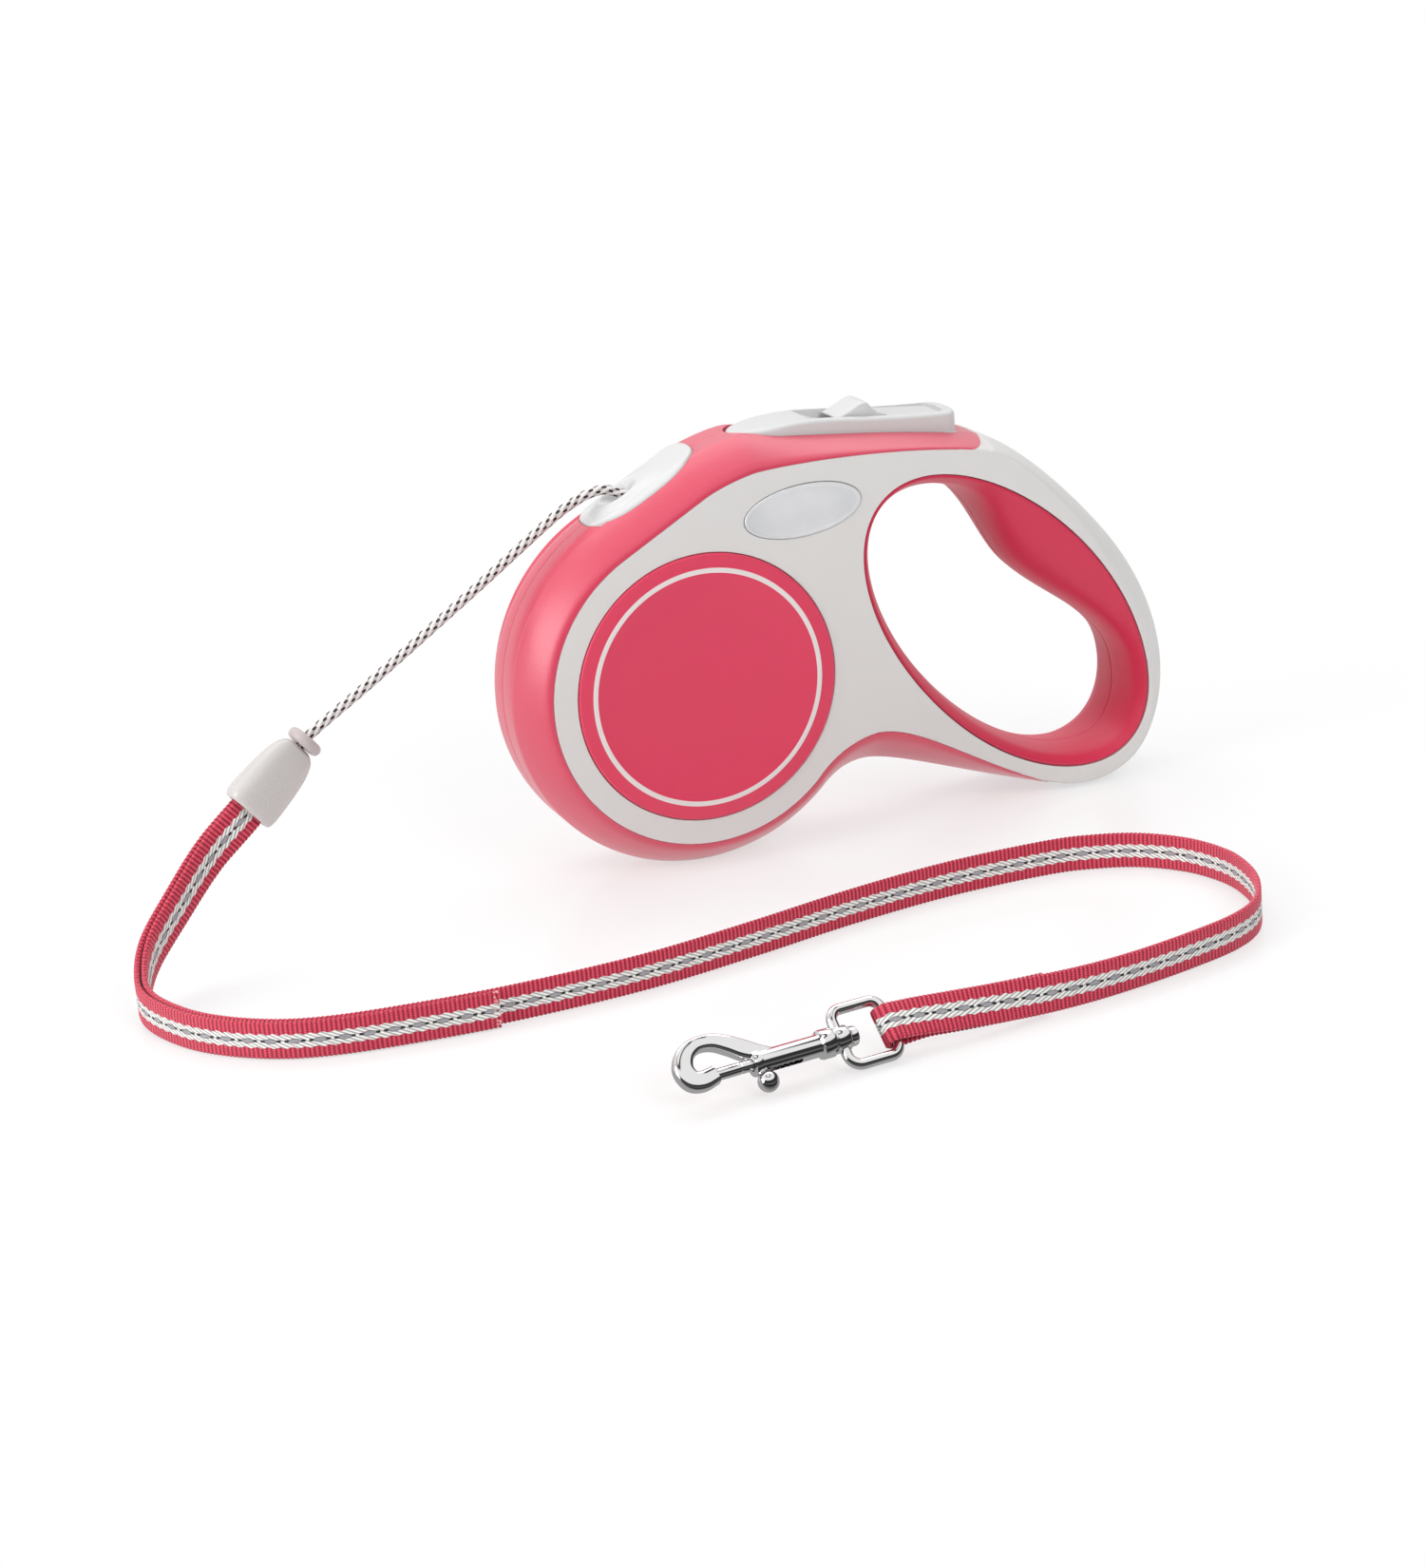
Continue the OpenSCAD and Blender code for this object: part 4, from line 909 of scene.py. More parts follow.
rim_right = drawn_in(rim_half())
slot = prism("slot", [in_case(x, y, CREST[1] - 12.2) for x, y in button_plan(0.35)], (0, 0, 22))
seat = prism("seat", nozzle_plan(0.12, -12), tuple(20 * np.array((NOSE_OUT[0], 0, NOSE_OUT[1]))))
cut(rim_right, slot, seat)
rim_left = mirrored(rim_right, "rim_left")
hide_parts("right_rim")
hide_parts("left_rim")
dress(rim_red, "casing", "rim_red", rim_right, rim_left)
print("rim faces:", len(rim_right.data.polygons))

# %% [markdown]
# ## The grey panels
# Each side of the case is one grey moulding: a flat panel with the round seat of the cover, the oval seat
# of the badge and the hand opening, which bends over into the back of the hand loop.
#
# The flat is an extruded outline with its openings cut out. The bent back is a band pulled along the loop
# with the same shoulder as the rim, and it runs a little way under the rim's two ends.

# %% Panels
PLATE_T, COVER_R, FIT = 2.2, 30, 0.15
BADGE_A, BADGE_B = 13.8, 5.7
BADGE_C, BADGE_TURN = HOLE_TIP + (-18.9, 1.1), math.radians(3)
rim_edge = rim_line + rim_in * (rim_width + SEAM)[:, None]
loop_edge = loop_line + loop_in * (loop_width + 0.06)[:, None]


def on_badge(x, z):
    """A place in the badge's oval, in the side view."""
    c, s = math.cos(BADGE_TURN), math.sin(BADGE_TURN)
    return BADGE_C + (x * c - z * s, x * s + z * c)


def panel():
    edge = np.concatenate([rim_edge[::2], loop_edge[1:-1:2]])
    plate = prism("panel_right", [at_y(p, HALF_T - PLATE_T) for p in edge], (0, PLATE_T, 0))
    turns = np.arange(0, 360, 2)
    hole = prism("hole", [at_y(oval(HOLE_C, HOLE_A, HOLE_B, t), 8) for t in turns], (0, 12, 0))
    disc = prism("disc", [at_y(polar(COVER_R + FIT, t), 8) for t in turns], (0, 12, 0))
    a, b = BADGE_A + FIT, BADGE_B + FIT
    badge_edge = [on_badge(a * math.cos(t), b * math.sin(t)) for t in around(96)]
    badge = prism("badge", [at_y(p, HALF_T - 0.7) for p in badge_edge], (0, 5, 0))
    return cut(plate, hole, disc, badge)


def soften(plate, size):
    """The plate's front edges get a small round, except where it runs on into the back of the loop."""
    picked(plate)
    bpy.ops.object.mode_set(mode="EDIT")
    bpy.ops.mesh.select_all(action="DESELECT")
    bpy.ops.mesh.select_mode(type="EDGE")
    bpy.ops.object.mode_set(mode="OBJECT")
    mesh = plate.data
    bend = np.array([at_y(p, HALF_T) for p in loop_edge])
    sides = {}
    for face in mesh.polygons:
        for key in face.edge_keys:
            sides.setdefault(key, []).append(face.normal)
    for edge in mesh.edges:
        ends = [np.array(mesh.vertices[k].co) / MM for k in edge.vertices]
        faces = sides.get(tuple(sorted(edge.vertices)), [])
        at_front = all(abs(e[1] - HALF_T) < 0.01 for e in ends)
        sharp = len(faces) == 2 and faces[0].angle(faces[1]) > math.radians(60)
        on_loop = min(np.linalg.norm(bend - (ends[0] + ends[1]) / 2, axis=1)) < 0.7
        edge.select = at_front and sharp and not on_loop
    bpy.ops.object.mode_set(mode="EDIT")
    bpy.ops.mesh.bevel(offset=size * MM, segments=3, affect="EDGES")
    bpy.ops.object.mode_set(mode="OBJECT")
    return shaded(plate)


def in_strips(plate, apart=3.0):
    """Cuts the flat across the hand loop, so that it can bend there."""
    places = [Vector(at_y(HOLE_C + down * LONG, 0)) * MM for down in np.arange(-12, 46, apart)]
    way = (LONG[0], 0, LONG[1])
    on_whole_mesh(*[lambda p=p: bpy.ops.mesh.bisect(plane_co=p, plane_no=way) for p in places])
    return plate


def back_of_loop():
    tongue, heel_part = 13, 11
    before, after = slice(-1 - tongue, -1), slice(1, 1 + heel_part)
    line = np.concatenate([rim_line[before], loop_line, rim_line[after]])
    width = np.concatenate([rim_width[before], loop_width, rim_width[after]])
    rows = []
    for k, (p, n, w) in enumerate(zip(line, inward(line), width)):
        lower = 0.12 if k < tongue or k >= len(line) - heel_part else 0.0
        curve = [(0.12 + lower, 0.0), (lower, 0.2), (lower, 0.5), (lower, 3.0), (lower, 5.2), (0.03 + lower, 5.8)]
        curve += [(w * a + 0.06 + lower, HALF_T * b) for a, b in shoulder_curve[1:]]
        curve += [(w + 0.5 + lower, HALF_T - 0.006), (w + 0.6 + lower, HALF_T - 1.2)]
        inner = [(2.2 + 0.4 * w, 9.5), (2.2 + 0.1 * w, 6), (2, 0)]
        rows.append(on_line(p, n, curve + inner))
    return laid("loop_back_right", rows)


panel_right = drawn_in(in_strips(soften(panel(), 0.22)))
loop_right = drawn_in(back_of_loop())
panel_left, loop_left = mirrored(panel_right, "panel_left"), mirrored(loop_right, "loop_back_left")
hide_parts("right_shell")
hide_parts("left_shell")
dress(case_grey, "casing", "case_grey", panel_right, loop_right, panel_left, loop_left)
print("panel faces:", len(panel_right.data.polygons), "loop faces:", len(loop_right.data.polygons))

# %% [markdown]
# ## The lining of the hand opening
# A soft red lining is pressed into the hand opening. It is thin at the front, where it only shows as a lip,
# and swells in the palm at the back. Its two halves meet in a fine line inside the loop.
#
# The section is the same all the way round, and only its depth changes, so a ring of sections does it.

# %% Lining halves
PALM_AT, PALM_UP, PALM_DOWN, PALM_SWELL = 95, 42, 56, 9.5


def palm(t):
    """1 in the middle of the palm swell, and 0 past its ends."""
    k = (t + 180) % 360 - 180 - PALM_AT
    h = PALM_UP if k > 0 else PALM_DOWN
    return math.cos(math.radians(90 * k / h)) ** 2 if abs(k) < h else 0.0


def lining():
    rows = []
    for t in np.arange(0, 360, 1.5):
        s = 4 - 1.2 * max(0, math.cos(math.radians(t + 10))) ** 2 + PALM_SWELL * palm(t)
        p, d = oval(HOLE_C, HOLE_A, HOLE_B, t), oval_way(HOLE_A, HOLE_B, t)
        front = curve_through([(0.8, 14.62), (0.25 * s + 0.5, 13.4), (0.62 * s + 0.2, 10.8), (0.86 * s, 7.2),
                               (0.97 * s, 3.6), (s, 1.0)], 5)
        section = [(-1, 0), (-1, 11.5), (0.15, 11.5), (0.15, 14.3), (0.3, 14.52), (0.55, 14.62)]
        section += [tuple(q) for q in front] + [(s, 0.25), (s - 0.14, 0.0)]
        rows.append(on_line(p, np.array((d[1], -d[0])), section))
    return laid("lining_right", rows, ring=True)


lining_right = drawn_in(lining())
lining_left = mirrored(lining_right, "lining_left")
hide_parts("right_grip")
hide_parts("left_grip")
dress(grip_red, "casing", "grip_red", lining_right, lining_left)
print("lining faces:", len(lining_right.data.polygons))

# %% [markdown]
# ## Covers and badges
# A red disc closes the round seat on each side, and an oval badge sits in the panel above it. The discs are
# turned: a small round at the edge catches the light, and a fine gap to the panel reads as a dark line. The
# badges are bare ovals with a raised rim and a low pearl dome.

# %% Covers
DISC_PLACE = Matrix.Translation(Vector(in_case(0, 0, 0)) * MM) @ Matrix.Rotation(math.pi / 2, 4, "Z")
disc_profile = [(13.8, 0), (13.8, 29.6), (14.0, COVER_R), (14.85, COVER_R), (15.12, 29.93), (15.3, 29.76),
                (15.38, 29.5), (15.4, 29.2), (15.4, 26.9), (15.43, 26.75), (15.43, 25.75), (15.4, 25.6),
                (15.4, 12), (15.4, 0)]
cover_right = turned("cover_right", disc_profile, DISC_PLACE, steps=144)
cover_left = mirrored(cover_right, "cover_left")
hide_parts("right_cover")
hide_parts("left_cover")
dress(cover_red, "casing", "cover_red", cover_right, cover_left)
print("cover faces:", len(cover_right.data.polygons))

# %% Badges
def badge_oval():
    rings = [(0, 14.35), (0, 15.12), (0.1, 15.26), (0.3, 15.3), (0.55, 15.28), (0.75, 15.16), (0.95, 15.12)]
    rings += [(1.2 + 4.5 * k, 15.12 + 0.16 * (1 - (1 - k) ** 2)) for k in (0, 0.15, 0.35, 0.6, 1)]
    rows = []
    for inset, y in rings:
        a = BADGE_A - inset * (1 + 1.2 * min(1, inset / BADGE_B))
        b = max(0.0, BADGE_B - inset)
        rows.append([at_y(on_badge(a * math.cos(t), b * math.sin(t)), y) for t in around(96)])
    return laid("badge_right", rows, smooth=40)


badge_right = badge_oval()
badge_left = mirrored(badge_right, "badge_left")
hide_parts("right_badge")
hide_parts("left_badge")
dress(badge_white, "casing", "badge", badge_right, badge_left)
print("badge faces:", len(badge_right.data.polygons))

# %% [markdown]
# ## The nozzle
# The cord leaves through a pale leaf-shaped moulding that lies over the rim like a saddle. In its middle is
# a long crater with a smooth lip, over which the cord bends.
#
# Rings of points run from the leaf's edge to the lip and down into the crater, so that the surface stays
# one smooth skin.

# %% Nozzle
LIP_X, LIP_A, LIP_B = -4.4, 4.9, 3.5
LEAF_EDGE = ((0, -1.7), (0, -0.3), (0.07, 0.06), (0.22, 0.22), (0.5, 0.3))
# drop below the lip, half length, half width and shift of each ring in the crater
CRATER = ((0.2, 4.6, 3.25, 0), (0.6, 4.2, 2.95, 0), (1.1, 3.6, 2.6, 0.1), (1.6, 2.9, 2.2, 0.3),
          (2.1, 2.2, 1.85, 0.6), (2.8, 1.8, 1.65, 0.9), (6, 1.7, 1.6, 2))


def saddle(y):
    """Height of the rim's surface under the nozzle, at a distance y from the middle plane."""
    return -RIM_W * np.interp(abs(y) / HALF_T, [b for _, b in shoulder_curve], [a for a, _ in shoulder_curve])


def nozzle_ring(cx, ax, by, lift, power):
    place = [(cx + ax * full(math.cos(a), power), by * full(math.sin(a), power)) for a in around(96)]
    return [on_nose(x, y, saddle(y) + lift) for x, y in place]


def nozzle_skin():
    rows = [nozzle_ring(0, NOZZLE_A - inset, NOZZLE_B - inset, lift, 0.72) for inset, lift in LEAF_EDGE]
    for k in np.linspace(0, 1, 24)[1:]:
        lift = 0.3 + 0.95 * ease(max(0, (k - 0.3) / 0.7)) - 0.2 * max(0, (k - 0.92) / 0.08) ** 2
        size = mix(13.9, LIP_A, k), mix(7.7, LIP_B, k)
        rows.append(nozzle_ring(mix(0, LIP_X, k), *size, lift, mix(0.72, 1, ease(k))))
    rows += [nozzle_ring(LIP_X + shift, ax, by, 1.05 - drop, 1) for drop, ax, by, shift in CRATER]
    return laid("nozzle_saddle", rows, smooth=60)


nozzle_piece = nozzle_skin()
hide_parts("nozzle")
dress(pale_plastic, "casing", "pale_plastic", nozzle_piece)
print("nozzle faces:", len(nozzle_piece.data.polygons))

# %% [markdown]
# ## Brake button and lock slider
# The long pale button lies in the rim on top. Its front is a rounded dome, and behind it a shallow well
# holds the lock slider, a small hump for the thumb. The button's top follows a side line, and falls away in
# a round towards its edge, so its height depends on the distance to the edge of its plan.
#
# Rows across the button are pulled to that height, and the well is cut out afterwards.

# %% Button
BUTTON_TOP = [(-2.6, -0.6), (-1, -0.1), (1.5, 0.3), (7, 0.9), (13, 1.1), (19, 0.7), (31, -0.8), (41, -1.8),
              (49.4, -2.4), (50.8, -2.55)]
BUTTON_UNDER = np.array([(-2.6, -2.5), (0, -5.4), (7, -6.2), (19, -6.2), (31, -7.6), (50.8, -9.8)])
EDGE_ROUND = 0.8
top_curve = curve_through(BUTTON_TOP, 6)
plan = np.array(button_plan(0))


def to_edge(x, y):
    """Distance from a place on the button to the outline of its plan."""
    a, b = plan, np.roll(plan, -1, axis=0)
    d, p = b - a, np.array((x, y))
    t = np.clip(((p - a) * d).sum(1) / np.maximum(1e-12, (d * d).sum(1)), 0, 1)
    return np.linalg.norm(a + d * t[:, None] - p, axis=1).min()


def button_half_width(x):
    near = plan[plan[:, 1] >= -1e-9]
    order = np.argsort(near[:, 0])
    return float(np.interp(x, near[order, 0], near[order, 1]))


def button_body():
    x0, x1 = plan[:, 0].min() + 0.05, plan[:, 0].max() - 0.02
    front = x0 + 4 * (1 - np.cos(np.linspace(0, math.pi / 2, 18)))
    rear = x1 - 3 * (1 - np.cos(np.linspace(math.pi / 2, 0, 16)))
    rows = []
    for x in np.concatenate([front[:-1], np.linspace(x0 + 4, x1 - 3, 90), rear[1:]]):
        w = max(0.05, button_half_width(x))
        top, low = (CREST[1] + np.interp(x - CREST[0], c[:, 0], c[:, 1]) for c in (top_curve, BUTTON_UNDER))
        row = []
        for k in np.sin(np.linspace(-math.pi / 2, math.pi / 2, 37)):
            near = max(0.0, 1 - to_edge(x, w * k * 0.9995) / EDGE_ROUND)
            fall = EDGE_ROUND * (1 - math.sqrt(max(0.0, 1 - near ** 2)))
            row.append(in_case(x, w * k, top - fall - 0.35 * (w * k / BUTTON_W) ** 2))
        middle = mix(top, low, 0.5)
        row += [in_case(x, y, z) for y, z in ((w, middle), (w, low), (-w, low), (-w, middle))]
        rows.append(row)
    return laid("button_body", rows, smooth=40)


SLIDE_AT, SLIDE_TURN = CREST + (24.8, 0), math.radians(-7)
WELL_HALF = 5.15
SCOOP = [(-13.5, 1.2), (-11.4, 0.35), (-8, -1.0), (-5.2, -1.8), (-3.2, -2.2), (9.45, -2.2), (9.45, 6), (-13.5, 6)]


def in_slide(x, y, z):
    """From the slider's track to the shared frame."""
    c, s = math.cos(SLIDE_TURN), math.sin(SLIDE_TURN)
    return in_case(SLIDE_AT[0] + x * c - z * s, y, SLIDE_AT[1] + x * s + z * c)


def well(x0, x1, half, corner, z):
    """A rectangle with round corners, in the plane of the track."""
    x0, x1, half = x0 + corner, x1 - corner, half - corner
    pts = []
    for cx, cy, start in ((x1, half, 0), (x0, half, 90), (x0, -half, 180), (x1, -half, 270)):
        turns = [math.radians(start + t) for t in range(0, 91, 15)]
        pts += [in_slide(cx + corner * math.cos(t), cy + corner * math.sin(t), z) for t in turns]
    return pts


TRACK_UP = np.array((-math.sin(SLIDE_TURN), 0, math.cos(SLIDE_TURN)))
button_piece = button_body()
cut(button_piece, prism("scoop", [in_slide(x, -WELL_HALF, z) for x, z in SCOOP], (0, 2 * WELL_HALF, 0)))
cut(button_piece, prism("track", well(9.0, 23.2, WELL_HALF, 1.6, -0.3), tuple(8 * TRACK_UP)))
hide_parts("brake_button")
dress(pale_plastic, "button", "pale_plastic", button_piece)
print("button faces:", len(button_piece.data.polygons))

# %% Lock slider
HUMP = [(-2.6, -0.6), (-0.6, 0.4), (2.4, 2.2), (3.6, 2.7), (4.6, 2.6), (5.8, 1.5), (7.2, 0.5), (9.2, 0.1)]
HUMP_HALF, HUMP_FOOT = 4.4, -0.8


def slider_hump():
    half, rows = HUMP_HALF, []
    for x, z in curve_through(HUMP, 6):
        section = [(-half, HUMP_FOOT), (-half, z - 0.5), (-half + 0.1, z - 0.2), (-half + 0.3, z - 0.06),
                   (-half + 0.6, z)]
        section += [(half * k, z + 0.1 * (1 - k * k)) for k in (-0.6, -0.3, 0, 0.3, 0.6)]
        section += [(-a, b) for a, b in section[4::-1]]
        rows.append([in_slide(x, y, max(h, HUMP_FOOT)) for y, h in section])
    return laid("slider_hump", rows, smooth=50)


slider_piece = slider_hump()
slider_plate = rounded(prism("slider_plate", well(2.1, 9.3, 5, 1.0, -2.05), tuple(1.5 * TRACK_UP)), 0.15)
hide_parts("lock_slider")
dress(pale_plastic, "slider", "pale_plastic", slider_piece, slider_plate)
print("slider faces:", len(slider_piece.data.polygons))

# %% [markdown]
# ## Bead and clip
# Where the cord meets the strap there is a small warm grey bead, which stops the cord at the nozzle, and a
# glossy egg-shaped clip that holds the cord's knot and the fold of the strap. The clip is two halves with a
# fine seam on its edge, and its mouth is hollow.

# %% Bead
def frame_of(origin, u, v):
    n = np.cross(u, v)
    return Matrix([[u[k], v[k], n[k], origin[k] * MM] for k in range(3)] + [[0, 0, 0, 1]])


bead_profile = [(0, 1.35), (0, 3.1), (0.15, 3.5), (0.45, 3.82), (0.85, 3.97), (1.2, 4.0), (1.55, 3.97),
                (1.95, 3.82), (2.25, 3.5), (2.4, 3.1), (2.4, 1.35)]
bead = turned("cord_bead", bead_profile, frame_of(CLIP_AT - 0.3 * CLIP_WAY, -CLIP_WAY, CLIP_UP), steps=56)
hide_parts("cord_stop")
dress(bead_grey, "casing", "pale_plastic", bead)
print("bead faces:", len(bead.data.polygons))

# %% Clip
# distance along the clip, half width and half thickness, outside and then inside its mouth
CLIP_OUTSIDE = [(0.0, 2.2, 1.0), (0.25, 3.0, 1.35), (0.9, 3.9, 1.9), (2.2, 4.75, 2.4), (5, 5.55, 3.0),
                (9, 5.98, 3.5), (13, 6.18, 3.9), (15.6, 6.2, 4.0), (16.8, 6.0, 3.85), (17.35, 5.65, 3.5),
                (17.5, 5.3, 3.2)]
CLIP_INSIDE = [(17.5, 4.6, 2.85), (17.3, 4.35, 2.76), (16.5, 4.3, 2.75), (10, 4.3, 2.75), (4, 4.3, 2.6)]


def clip_ring(u, b, t, power, groove):
    """One section of the clip. The groove is the seam between its halves."""
    row = []
    for a in around(96):
        x, y = b * full(math.cos(a), power), t * full(math.sin(a), power)
        x -= math.copysign(groove * max(0.0, 1 - abs(y) / 0.16), x)
        row.append(CLIP_AT + u * CLIP_WAY + x * CLIP_UP + y * CLIP_N)
    return row


clip_rows = [clip_ring(*section, 0.72, 0.14) for section in curve_through(CLIP_OUTSIDE, 5)]
clip_rows += [clip_ring(*section, 0.45, 0.0) for section in CLIP_INSIDE]
clip_piece = laid("clip_shell", clip_rows, smooth=50)
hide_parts("clip_housing", "clip_cover")
dress(clip_grey, "casing", "clip_grey", clip_piece)
print("clip faces:", len(clip_piece.data.polygons))

# %% [markdown]
# ## Swivel ring and snap hook
# The hook is cast and chromed: a rounded square ring with a boss, a collar on a rivet, a barrel with a
# slot, and a teardrop eye whose nose meets a sliding bolt. The turned parts are spun profiles, and the ring
# and the eye are wires with a changing section.
#
# The ring, the hook and the bolt ride on three different bodies, so each can move.

# %% Swivel ring
HOOK = frame_of(bar_p, HOOK_U, HOOK_V)
RING_L, RING_HALF, RING_CORNER, WIRE_R = 11.0, 6.0, 2.4, 1.1


def at_hook(u, v, n):
    return bar_p + u * HOOK_U + v * HOOK_V + n * HOOK_N


def ring_wire():
    c, half = RING_CORNER, RING_L / 2
    pts = []
    for qx, qy, start in ((1, 1, 0), (-1, 1, 90), (-1, -1, 180), (1, -1, 270)):
        turns = [math.radians(start + t) for t in range(0, 91, 10)]
        pts += [(half + qx * (half - c) + c * math.cos(t), qy * (RING_HALF - c) + c * math.sin(t)) for t in turns]
    pts = np.array(pts)
    way = unit(np.roll(pts, -1, axis=0) - np.roll(pts, 1, axis=0))
    rows = []
    for p, d in zip(pts, way):
        section = [(WIRE_R * math.cos(a), WIRE_R * math.sin(a)) for a in around(24)]
        rows.append([at_hook(p[0] + out * d[1], p[1] - out * d[0], high) for out, high in section])
    return laid("ring_wire", rows, ring=True, smooth=60)


ring_piece = ring_wire()
boss_profile = [(9.4, 1.3), (9.4, 2.2), (9.55, 2.45), (9.8, 2.6), (12.2, 2.6), (12.45, 2.45), (12.6, 2.2),
                (12.6, 1.3)]
boss = turned("ring_boss", boss_profile, HOOK, steps=48)
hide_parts("swivel_ring")
dress(chrome, "ring", "hook_chrome", ring_piece, boss)
print("ring faces:", len(ring_piece.data.polygons))

# %% Hook
# the eye's wire: along the hook, to its side, and half width
EYE = [(25.6, 0.9, 1.3), (28.0, 1.7, 1.7), (30.6, 3.2, 2.0), (33.2, 5.0, 1.85), (36.2, 6.5, 1.6), (39.4, 6.7, 1.5),
       (42.2, 5.4, 1.8), (43.7, 2.8, 2.05), (43.1, 0.3, 2.1), (41.0, -0.5, 1.95), (38.1, 0, 1.75)]
EYE_FLAT = 1.55
barrel_profile = [(7.3, 0), (7.34, 0.8), (7.5, 1.5), (7.8, 1.9), (8.2, 2), (8.9, 2), (9.1, 1.8), (9.1, 1.22),
                  (12.8, 1.22), (12.8, 2.5), (12.95, 2.78), (13.2, 2.9), (15.3, 2.9), (15.6, 2.8), (15.8, 2.5),
                  (15.9, 2.25), (16.4, 2.2), (28.6, 2.2), (28.7, 2.42), (29, 2.5), (29.9, 2.5), (30.2, 2.4),
                  (30.3, 2.1), (30.3, 1.36), (17, 1.36), (17, 0)]
SLOT = ((20.3, -1), (29.2, -1), (29.2, 1), (20.3, 1))


def hook_eye():
    line = curve_through(EYE, 7)
    rows = []
    for (u, v, r), d in zip(line, headings(line[:, :2])):
        section = [(r * full(math.cos(a), 0.6), min(r, EYE_FLAT) * full(math.sin(a), 0.6)) for a in around(32)]
        rows.append([at_hook(u + out * d[1], v - out * d[0], flat) for out, flat in section])
    return laid("hook_eye", rows, smooth=60)


barrel = turned("hook_barrel", barrel_profile, HOOK, steps=64)
cut(barrel, prism("slot_box", [at_hook(u, -5, n) for u, n in SLOT], tuple(5 * HOOK_V)), smooth=40)
eye = hook_eye()
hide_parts("hook_body")
dress(chrome, "hook", "hook_chrome", barrel, eye)
print("hook faces:", len(barrel.data.polygons), len(eye.data.polygons))

# %% Bolt
BALL_AT, BALL_R = 4.1, 2.1
rod_profile = [(25.3, 0), (25.3, 1.1), (25.4, 1.2), (32.6, 1.2), (32.7, 1.1), (32.9, 1.1), (33.0, 1.2), (37.5, 1.2),
               (37.75, 1.1), (37.9, 0.8), (37.9, 0)]
stud_profile = [(0, 0), (0, 0.8), (2.0, 0.8)]
stud_profile += [(BALL_AT - BALL_R * math.cos(a), BALL_R * math.sin(a)) for a in np.linspace(0.42, math.pi, 22)]
bolt_rod = turned("bolt_rod", rod_profile, HOOK, steps=40)
bolt_stud = turned("bolt_stud", stud_profile, frame_of(at_hook(28.5, 0, 0), -HOOK_V, HOOK_U), steps=40)
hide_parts("hook_bolt")
dress(chrome, "bolt", "hook_chrome", bolt_rod, bolt_stud)
print("bolt faces:", len(bolt_rod.data.polygons))

# %% [markdown]
# ## Inside the case
# The wound cord lies in even turns on the reel. It replaces the plain solid with ridges, one for each turn
# of the outer layer. The axle, the reel, the power spring and the other plain inner parts keep their packed
# shape, and only get a finish.

# %% Wound cord
WOUND_Y, WOUND_R, TURN_STEPS = (-3.9, 4.9), (19.05, 33.1), 8


def wound():
    (y0, y1), (r0, r1) = WOUND_Y, WOUND_R
    turns = int((y1 - y0) / (2 * CORD_R))
    profile = [(y0, r0)]
    for k in range(turns):
        for t in np.arange(TURN_STEPS) / TURN_STEPS:
            profile.append((y0 + (k + t) * (y1 - y0) / turns, r1 - 0.9 + 0.85 * math.sin(math.pi * t) ** 0.6))
    return turned("wound_turns", profile + [(y1, r1 - 0.9), (y1, r0)], DISC_PLACE, steps=96)


def wound_braid():
    f = Finish("wound_braid")
    thread = f.noise(3000, 3)
    fleck = f.noise(900, 2).within(0.6, 2, 0.05)
    tone = f.blend(fleck * 0.8, f.blend(thread, srgb(206, 200, 196), srgb(243, 240, 237)), srgb(90, 70, 68))
    return f.feed(Base_Color=tone, Roughness=0.72 + 0.1 * thread, Normal=f.bump(thread, 0.5, 0.1))


wound_piece = wound()
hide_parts("wound_cord")
dress(wound_braid(), "reel", "cord", wound_piece)
inner_finish = {inner_plastic: ("reel", "spring_cover", "brake_pawl"),
                steel: ("axle", "power_spring", "button_pin", "case_screws", "clip_pin")}
for finish, names in inner_finish.items():
    for name in names:
        nodes[name].data.materials.clear()
        nodes[name].data.materials.append(finish)
print("inner nodes finished:", sum(len(names) for names in inner_finish.values()))

# %% [markdown]
# The bolt and the button each press on a coil spring. A coil is a round section pulled along a screw line.

# %% Springs
def coil(name, place, radius, wire, start, end, turns):
    """A coil spring from start to end: place turns (along, across, across) into the shared frame."""
    rows = []
    for i in range(24 * turns + 1):
        t, along = 2 * math.pi * i / 24, mix(start + wire, end - wire, i / (24 * turns))
        section = [(radius + wire * math.cos(q), wire * math.sin(q)) for q in around(10)]
        rows.append([place(along + h, r * math.cos(t), r * math.sin(t)) for r, h in section])
    return laid(name, rows, smooth=60)


BOLT_SPRING_U = (16.5, 25.2)
SPRING_X, SPRING_Z = CREST[0] + 26.2, (CREST[1] - 13.15, CREST[1] - 7.35)
bolt_coil = coil("bolt_spring_coil", at_hook, 0.85, 0.2, *BOLT_SPRING_U, 7)
button_coil = coil("button_spring_coil", lambda z, x, y: in_case(SPRING_X + x, y, z), 1.9, 0.35, *SPRING_Z, 4)
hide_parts("bolt_spring")
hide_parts("button_spring")
dress(steel, "hook", "steel", bolt_coil)
dress(steel, "casing", "steel", button_coil)
tuple(at_hook(BOLT_SPRING_U[0], 0, 0) * MM)
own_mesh(bolt_coil)
tuple(in_case(SPRING_X, 0, SPRING_Z[0]) * MM)
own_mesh(button_coil)
print("spring faces:", len(bolt_coil.data.polygons), len(button_coil.data.polygons))

# %% [markdown]
# ## Free cords
# The free length of cord, the strap's long run and its long tail have measured centrelines, and their lengths are
# printed, with that of the short tail, which goes with the hook.

def metres(line, n=60):
    pick = np.linspace(0, len(line) - 1, n).round().astype(int)
    return [tuple(p * MM) for p in np.asarray(line)[pick, :3]]


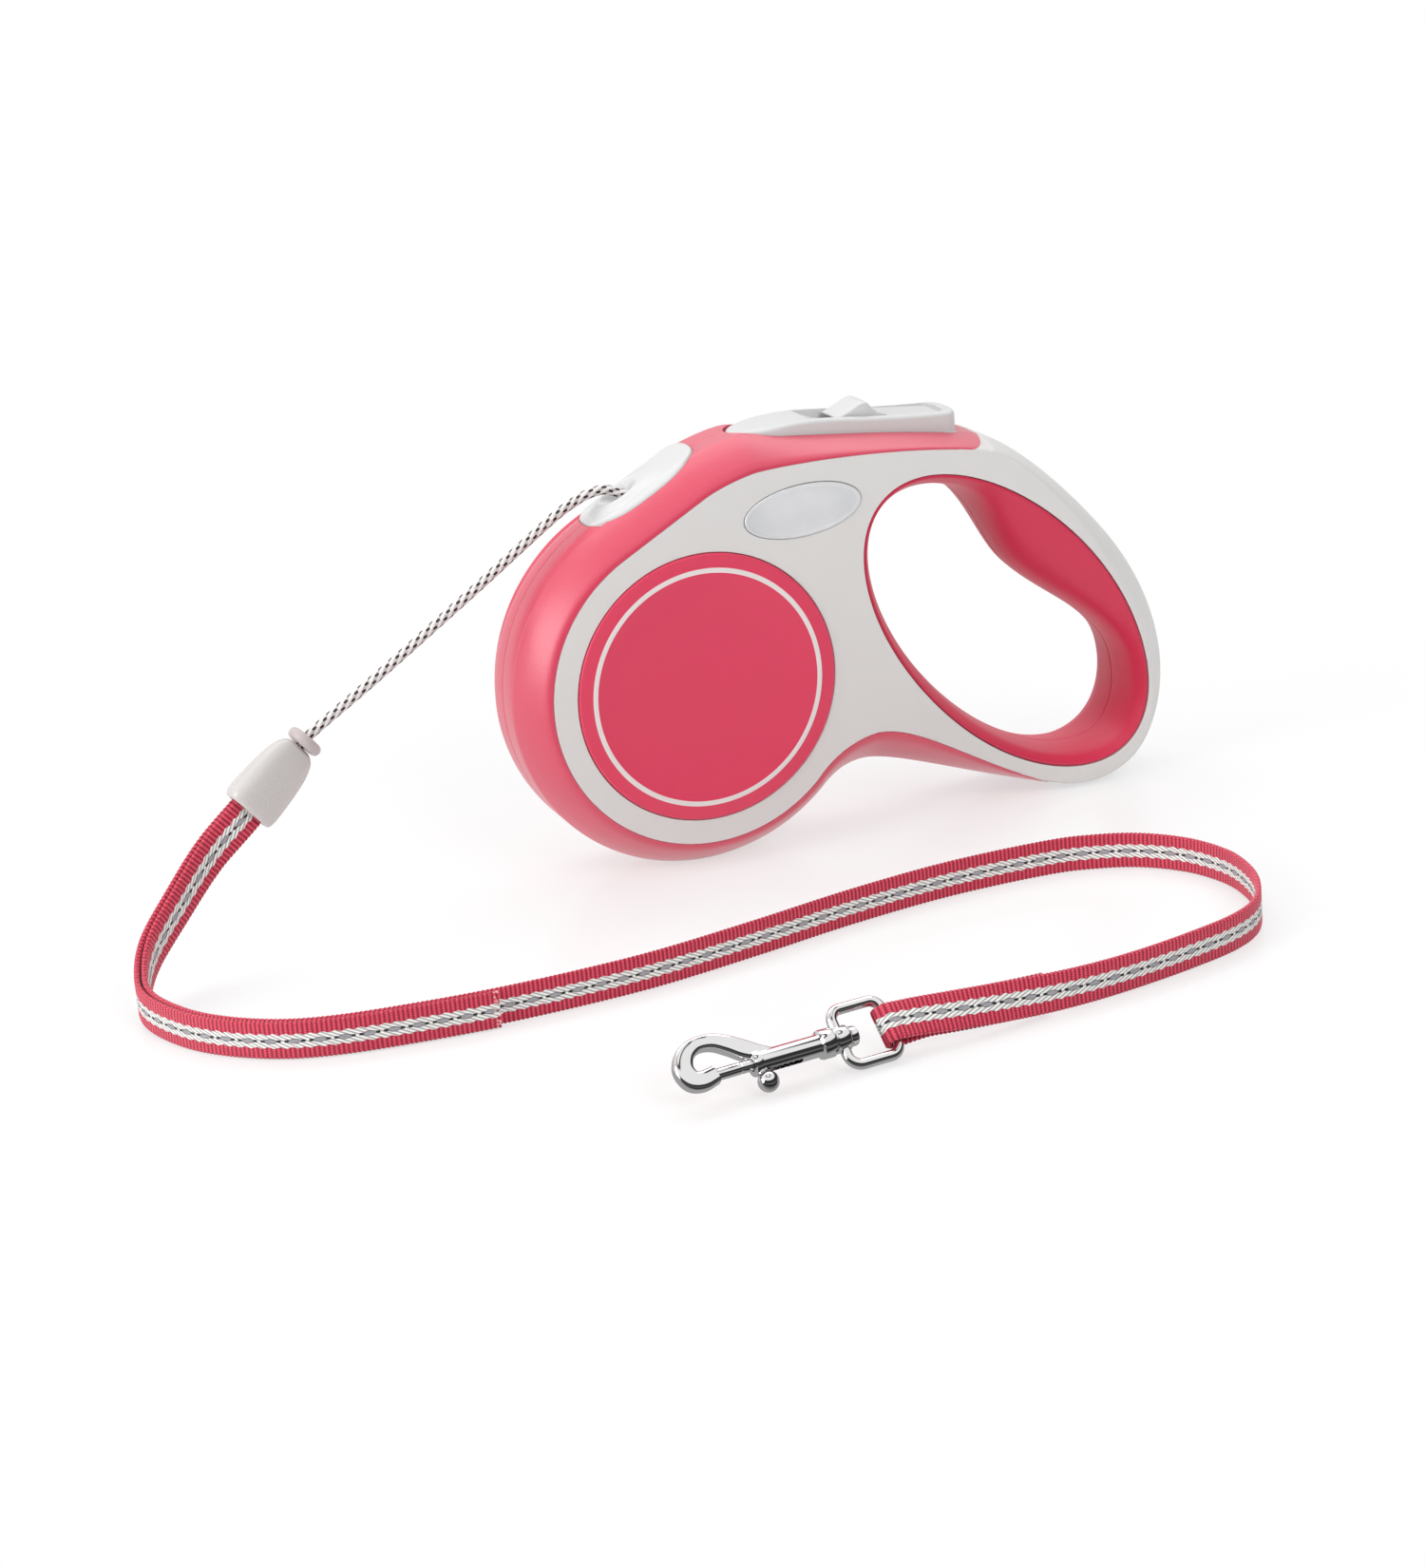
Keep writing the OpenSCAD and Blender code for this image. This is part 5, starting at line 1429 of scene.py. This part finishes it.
tuple(from_nozzle(0, 0) * MM)
metres(cord_line)
tuple(mouth * MM)
main_l * MM
metres(main_line, 120)
tuple(mouth * MM)
tail_l * MM
metres(tail_line, 80)
print("cords declared:", round(cord_s[-1]), round(main_l), round(tail_l), round(back_l), "mm")

# %% [markdown]
# ## Floor and light
# The picture is a studio shot on white. The floor and the world are white for the camera, and the light on
# the leash is soft: a panel overhead and a little behind, a box at the left, and a key from the front
# right.
#
# Chrome only shows what it mirrors. In reflections there is a white backdrop behind the leash, dark bands in the
# sky, and dark bands of painted shade on the table in front of the hook.

# %% Floor
deselect()
bpy.ops.mesh.primitive_plane_add(size=12)
floor = fresh("studio_floor")
CENTRE = (-0.03, -0.04)
TABLE_Y, TABLE_DEPTH = -0.12, 0.06
# painted shade for reflections: grey near the hook, then a near-black band, then dark grey further out
PAINTED_TABLE_SHADE = greys((0, 0.4), (0.27, 0.4), (0.33, 0.12), (0.38, 0.02), (0.54, 0.02), (0.62, 0.12), (1, 0.12))
BACKDROP, WHITE = (0.9, 0.9, 0.9), (1, 1, 1)


def floor_white():
    """Plain white with a shadow near the leash, and pure white further out. In reflections it is a white table with
    painted shade in dark bands in front of the strap, where the shadow of the hook falls."""
    f = Finish("floor_white", Roughness=0.22)
    x, y, _ = f.axes(f.place())
    f.feed(Base_Color=f.blend(f.noise(30, 2), (0.91, 0.91, 0.91), (0.93, 0.93, 0.93)))
    dx, dy = x - CENTRE[0], y - CENTRE[1]
    far = ((dx * dx + dy * dy) ** 0.5).ramped(0.08, 0.30, To_Min=0.6, To_Max=1.0)
    glossy = f.ray("Glossy")
    seen = f.ray("Camera").largest(glossy).largest(f.ray("Transmission"))
    # painted shade: in reflections the floor in front of the strap and hook is drawn in these dark bands, in place
    # of the shadow that falls there
    bands = ((y - TABLE_Y) / -TABLE_DEPTH).toned(PAINTED_TABLE_SHADE)
    table = f.blend(y.within(-9, -0.085, 0.03), BACKDROP, bands)
    paper = f.node("ShaderNodeEmission", {}, {"Color": f.blend(glossy, WHITE, table), "Strength": 1.0})
    plain = Signal(f, f.shader.outputs[0])
    mixed = f.node("ShaderNodeMixShader", {}, {0: seen * far.largest(glossy), 1: plain, 2: paper})
    f.tree.links.new(mixed.socket, f.tree.nodes["Material Output"].inputs["Surface"])
    return f.owner


floor.data.materials.append(floor_white())
print("floor at z = 0")

# %% Lights
def panel_light(name, place, aim, size, power):
    data = bpy.data.lights.new(name, "AREA")
    data.shape, data.size, data.size_y, data.energy = "RECTANGLE", size[0], size[1], power
    lamp = bpy.data.objects.new(name, data)
    lamp.location = place
    lamp.rotation_euler = (Vector(aim) - Vector(place)).to_track_quat("-Z", "Y").to_euler()
    bpy.context.scene.collection.objects.link(lamp)
    return lamp


panel_light("overhead", (0.06, 0.48, 0.95), (0, 0, 0), (1.3, 0.5), 3.8)
panel_light("left_box", (-1.0, -0.12, 0.38), (-0.05, 0, 0.05), (0.6, 0.6), 6.5)
key = panel_light("front_key", (0.25, -1.25, 0.85), (-0.02, 0, 0.03), (0.9, 0.5), 8.5)
key.visible_glossy = False

# %% World
SKY = greys((0, 0.16), (0.05, 0.08), (0.12, 0.03), (0.52, 0.04), (0.60, 0.95), (0.905, 0.95), (0.925, 0.06),
            (0.955, 0.06), (0.97, 0.95), (1, 1))
world = bpy.context.scene.world or bpy.data.worlds.new("studio")
bpy.context.scene.world = world
sky = Finish("studio", world, "Background", Strength=1.0)
_, y, z = sky.axes(sky.place("Generated"))
behind = sky.node("ShaderNodeMapRange", {}, {"Value": y, "From Min": 0.35, "From Max": 0.7})
surround = sky.blend(behind * sky.ray("Glossy"), z.toned(SKY), BACKDROP)
sky.feed(Color=sky.blend(sky.ray("Camera"), surround, WHITE))
bpy.context.scene.view_settings.view_transform = "Standard"
print("world bands:", len(SKY))
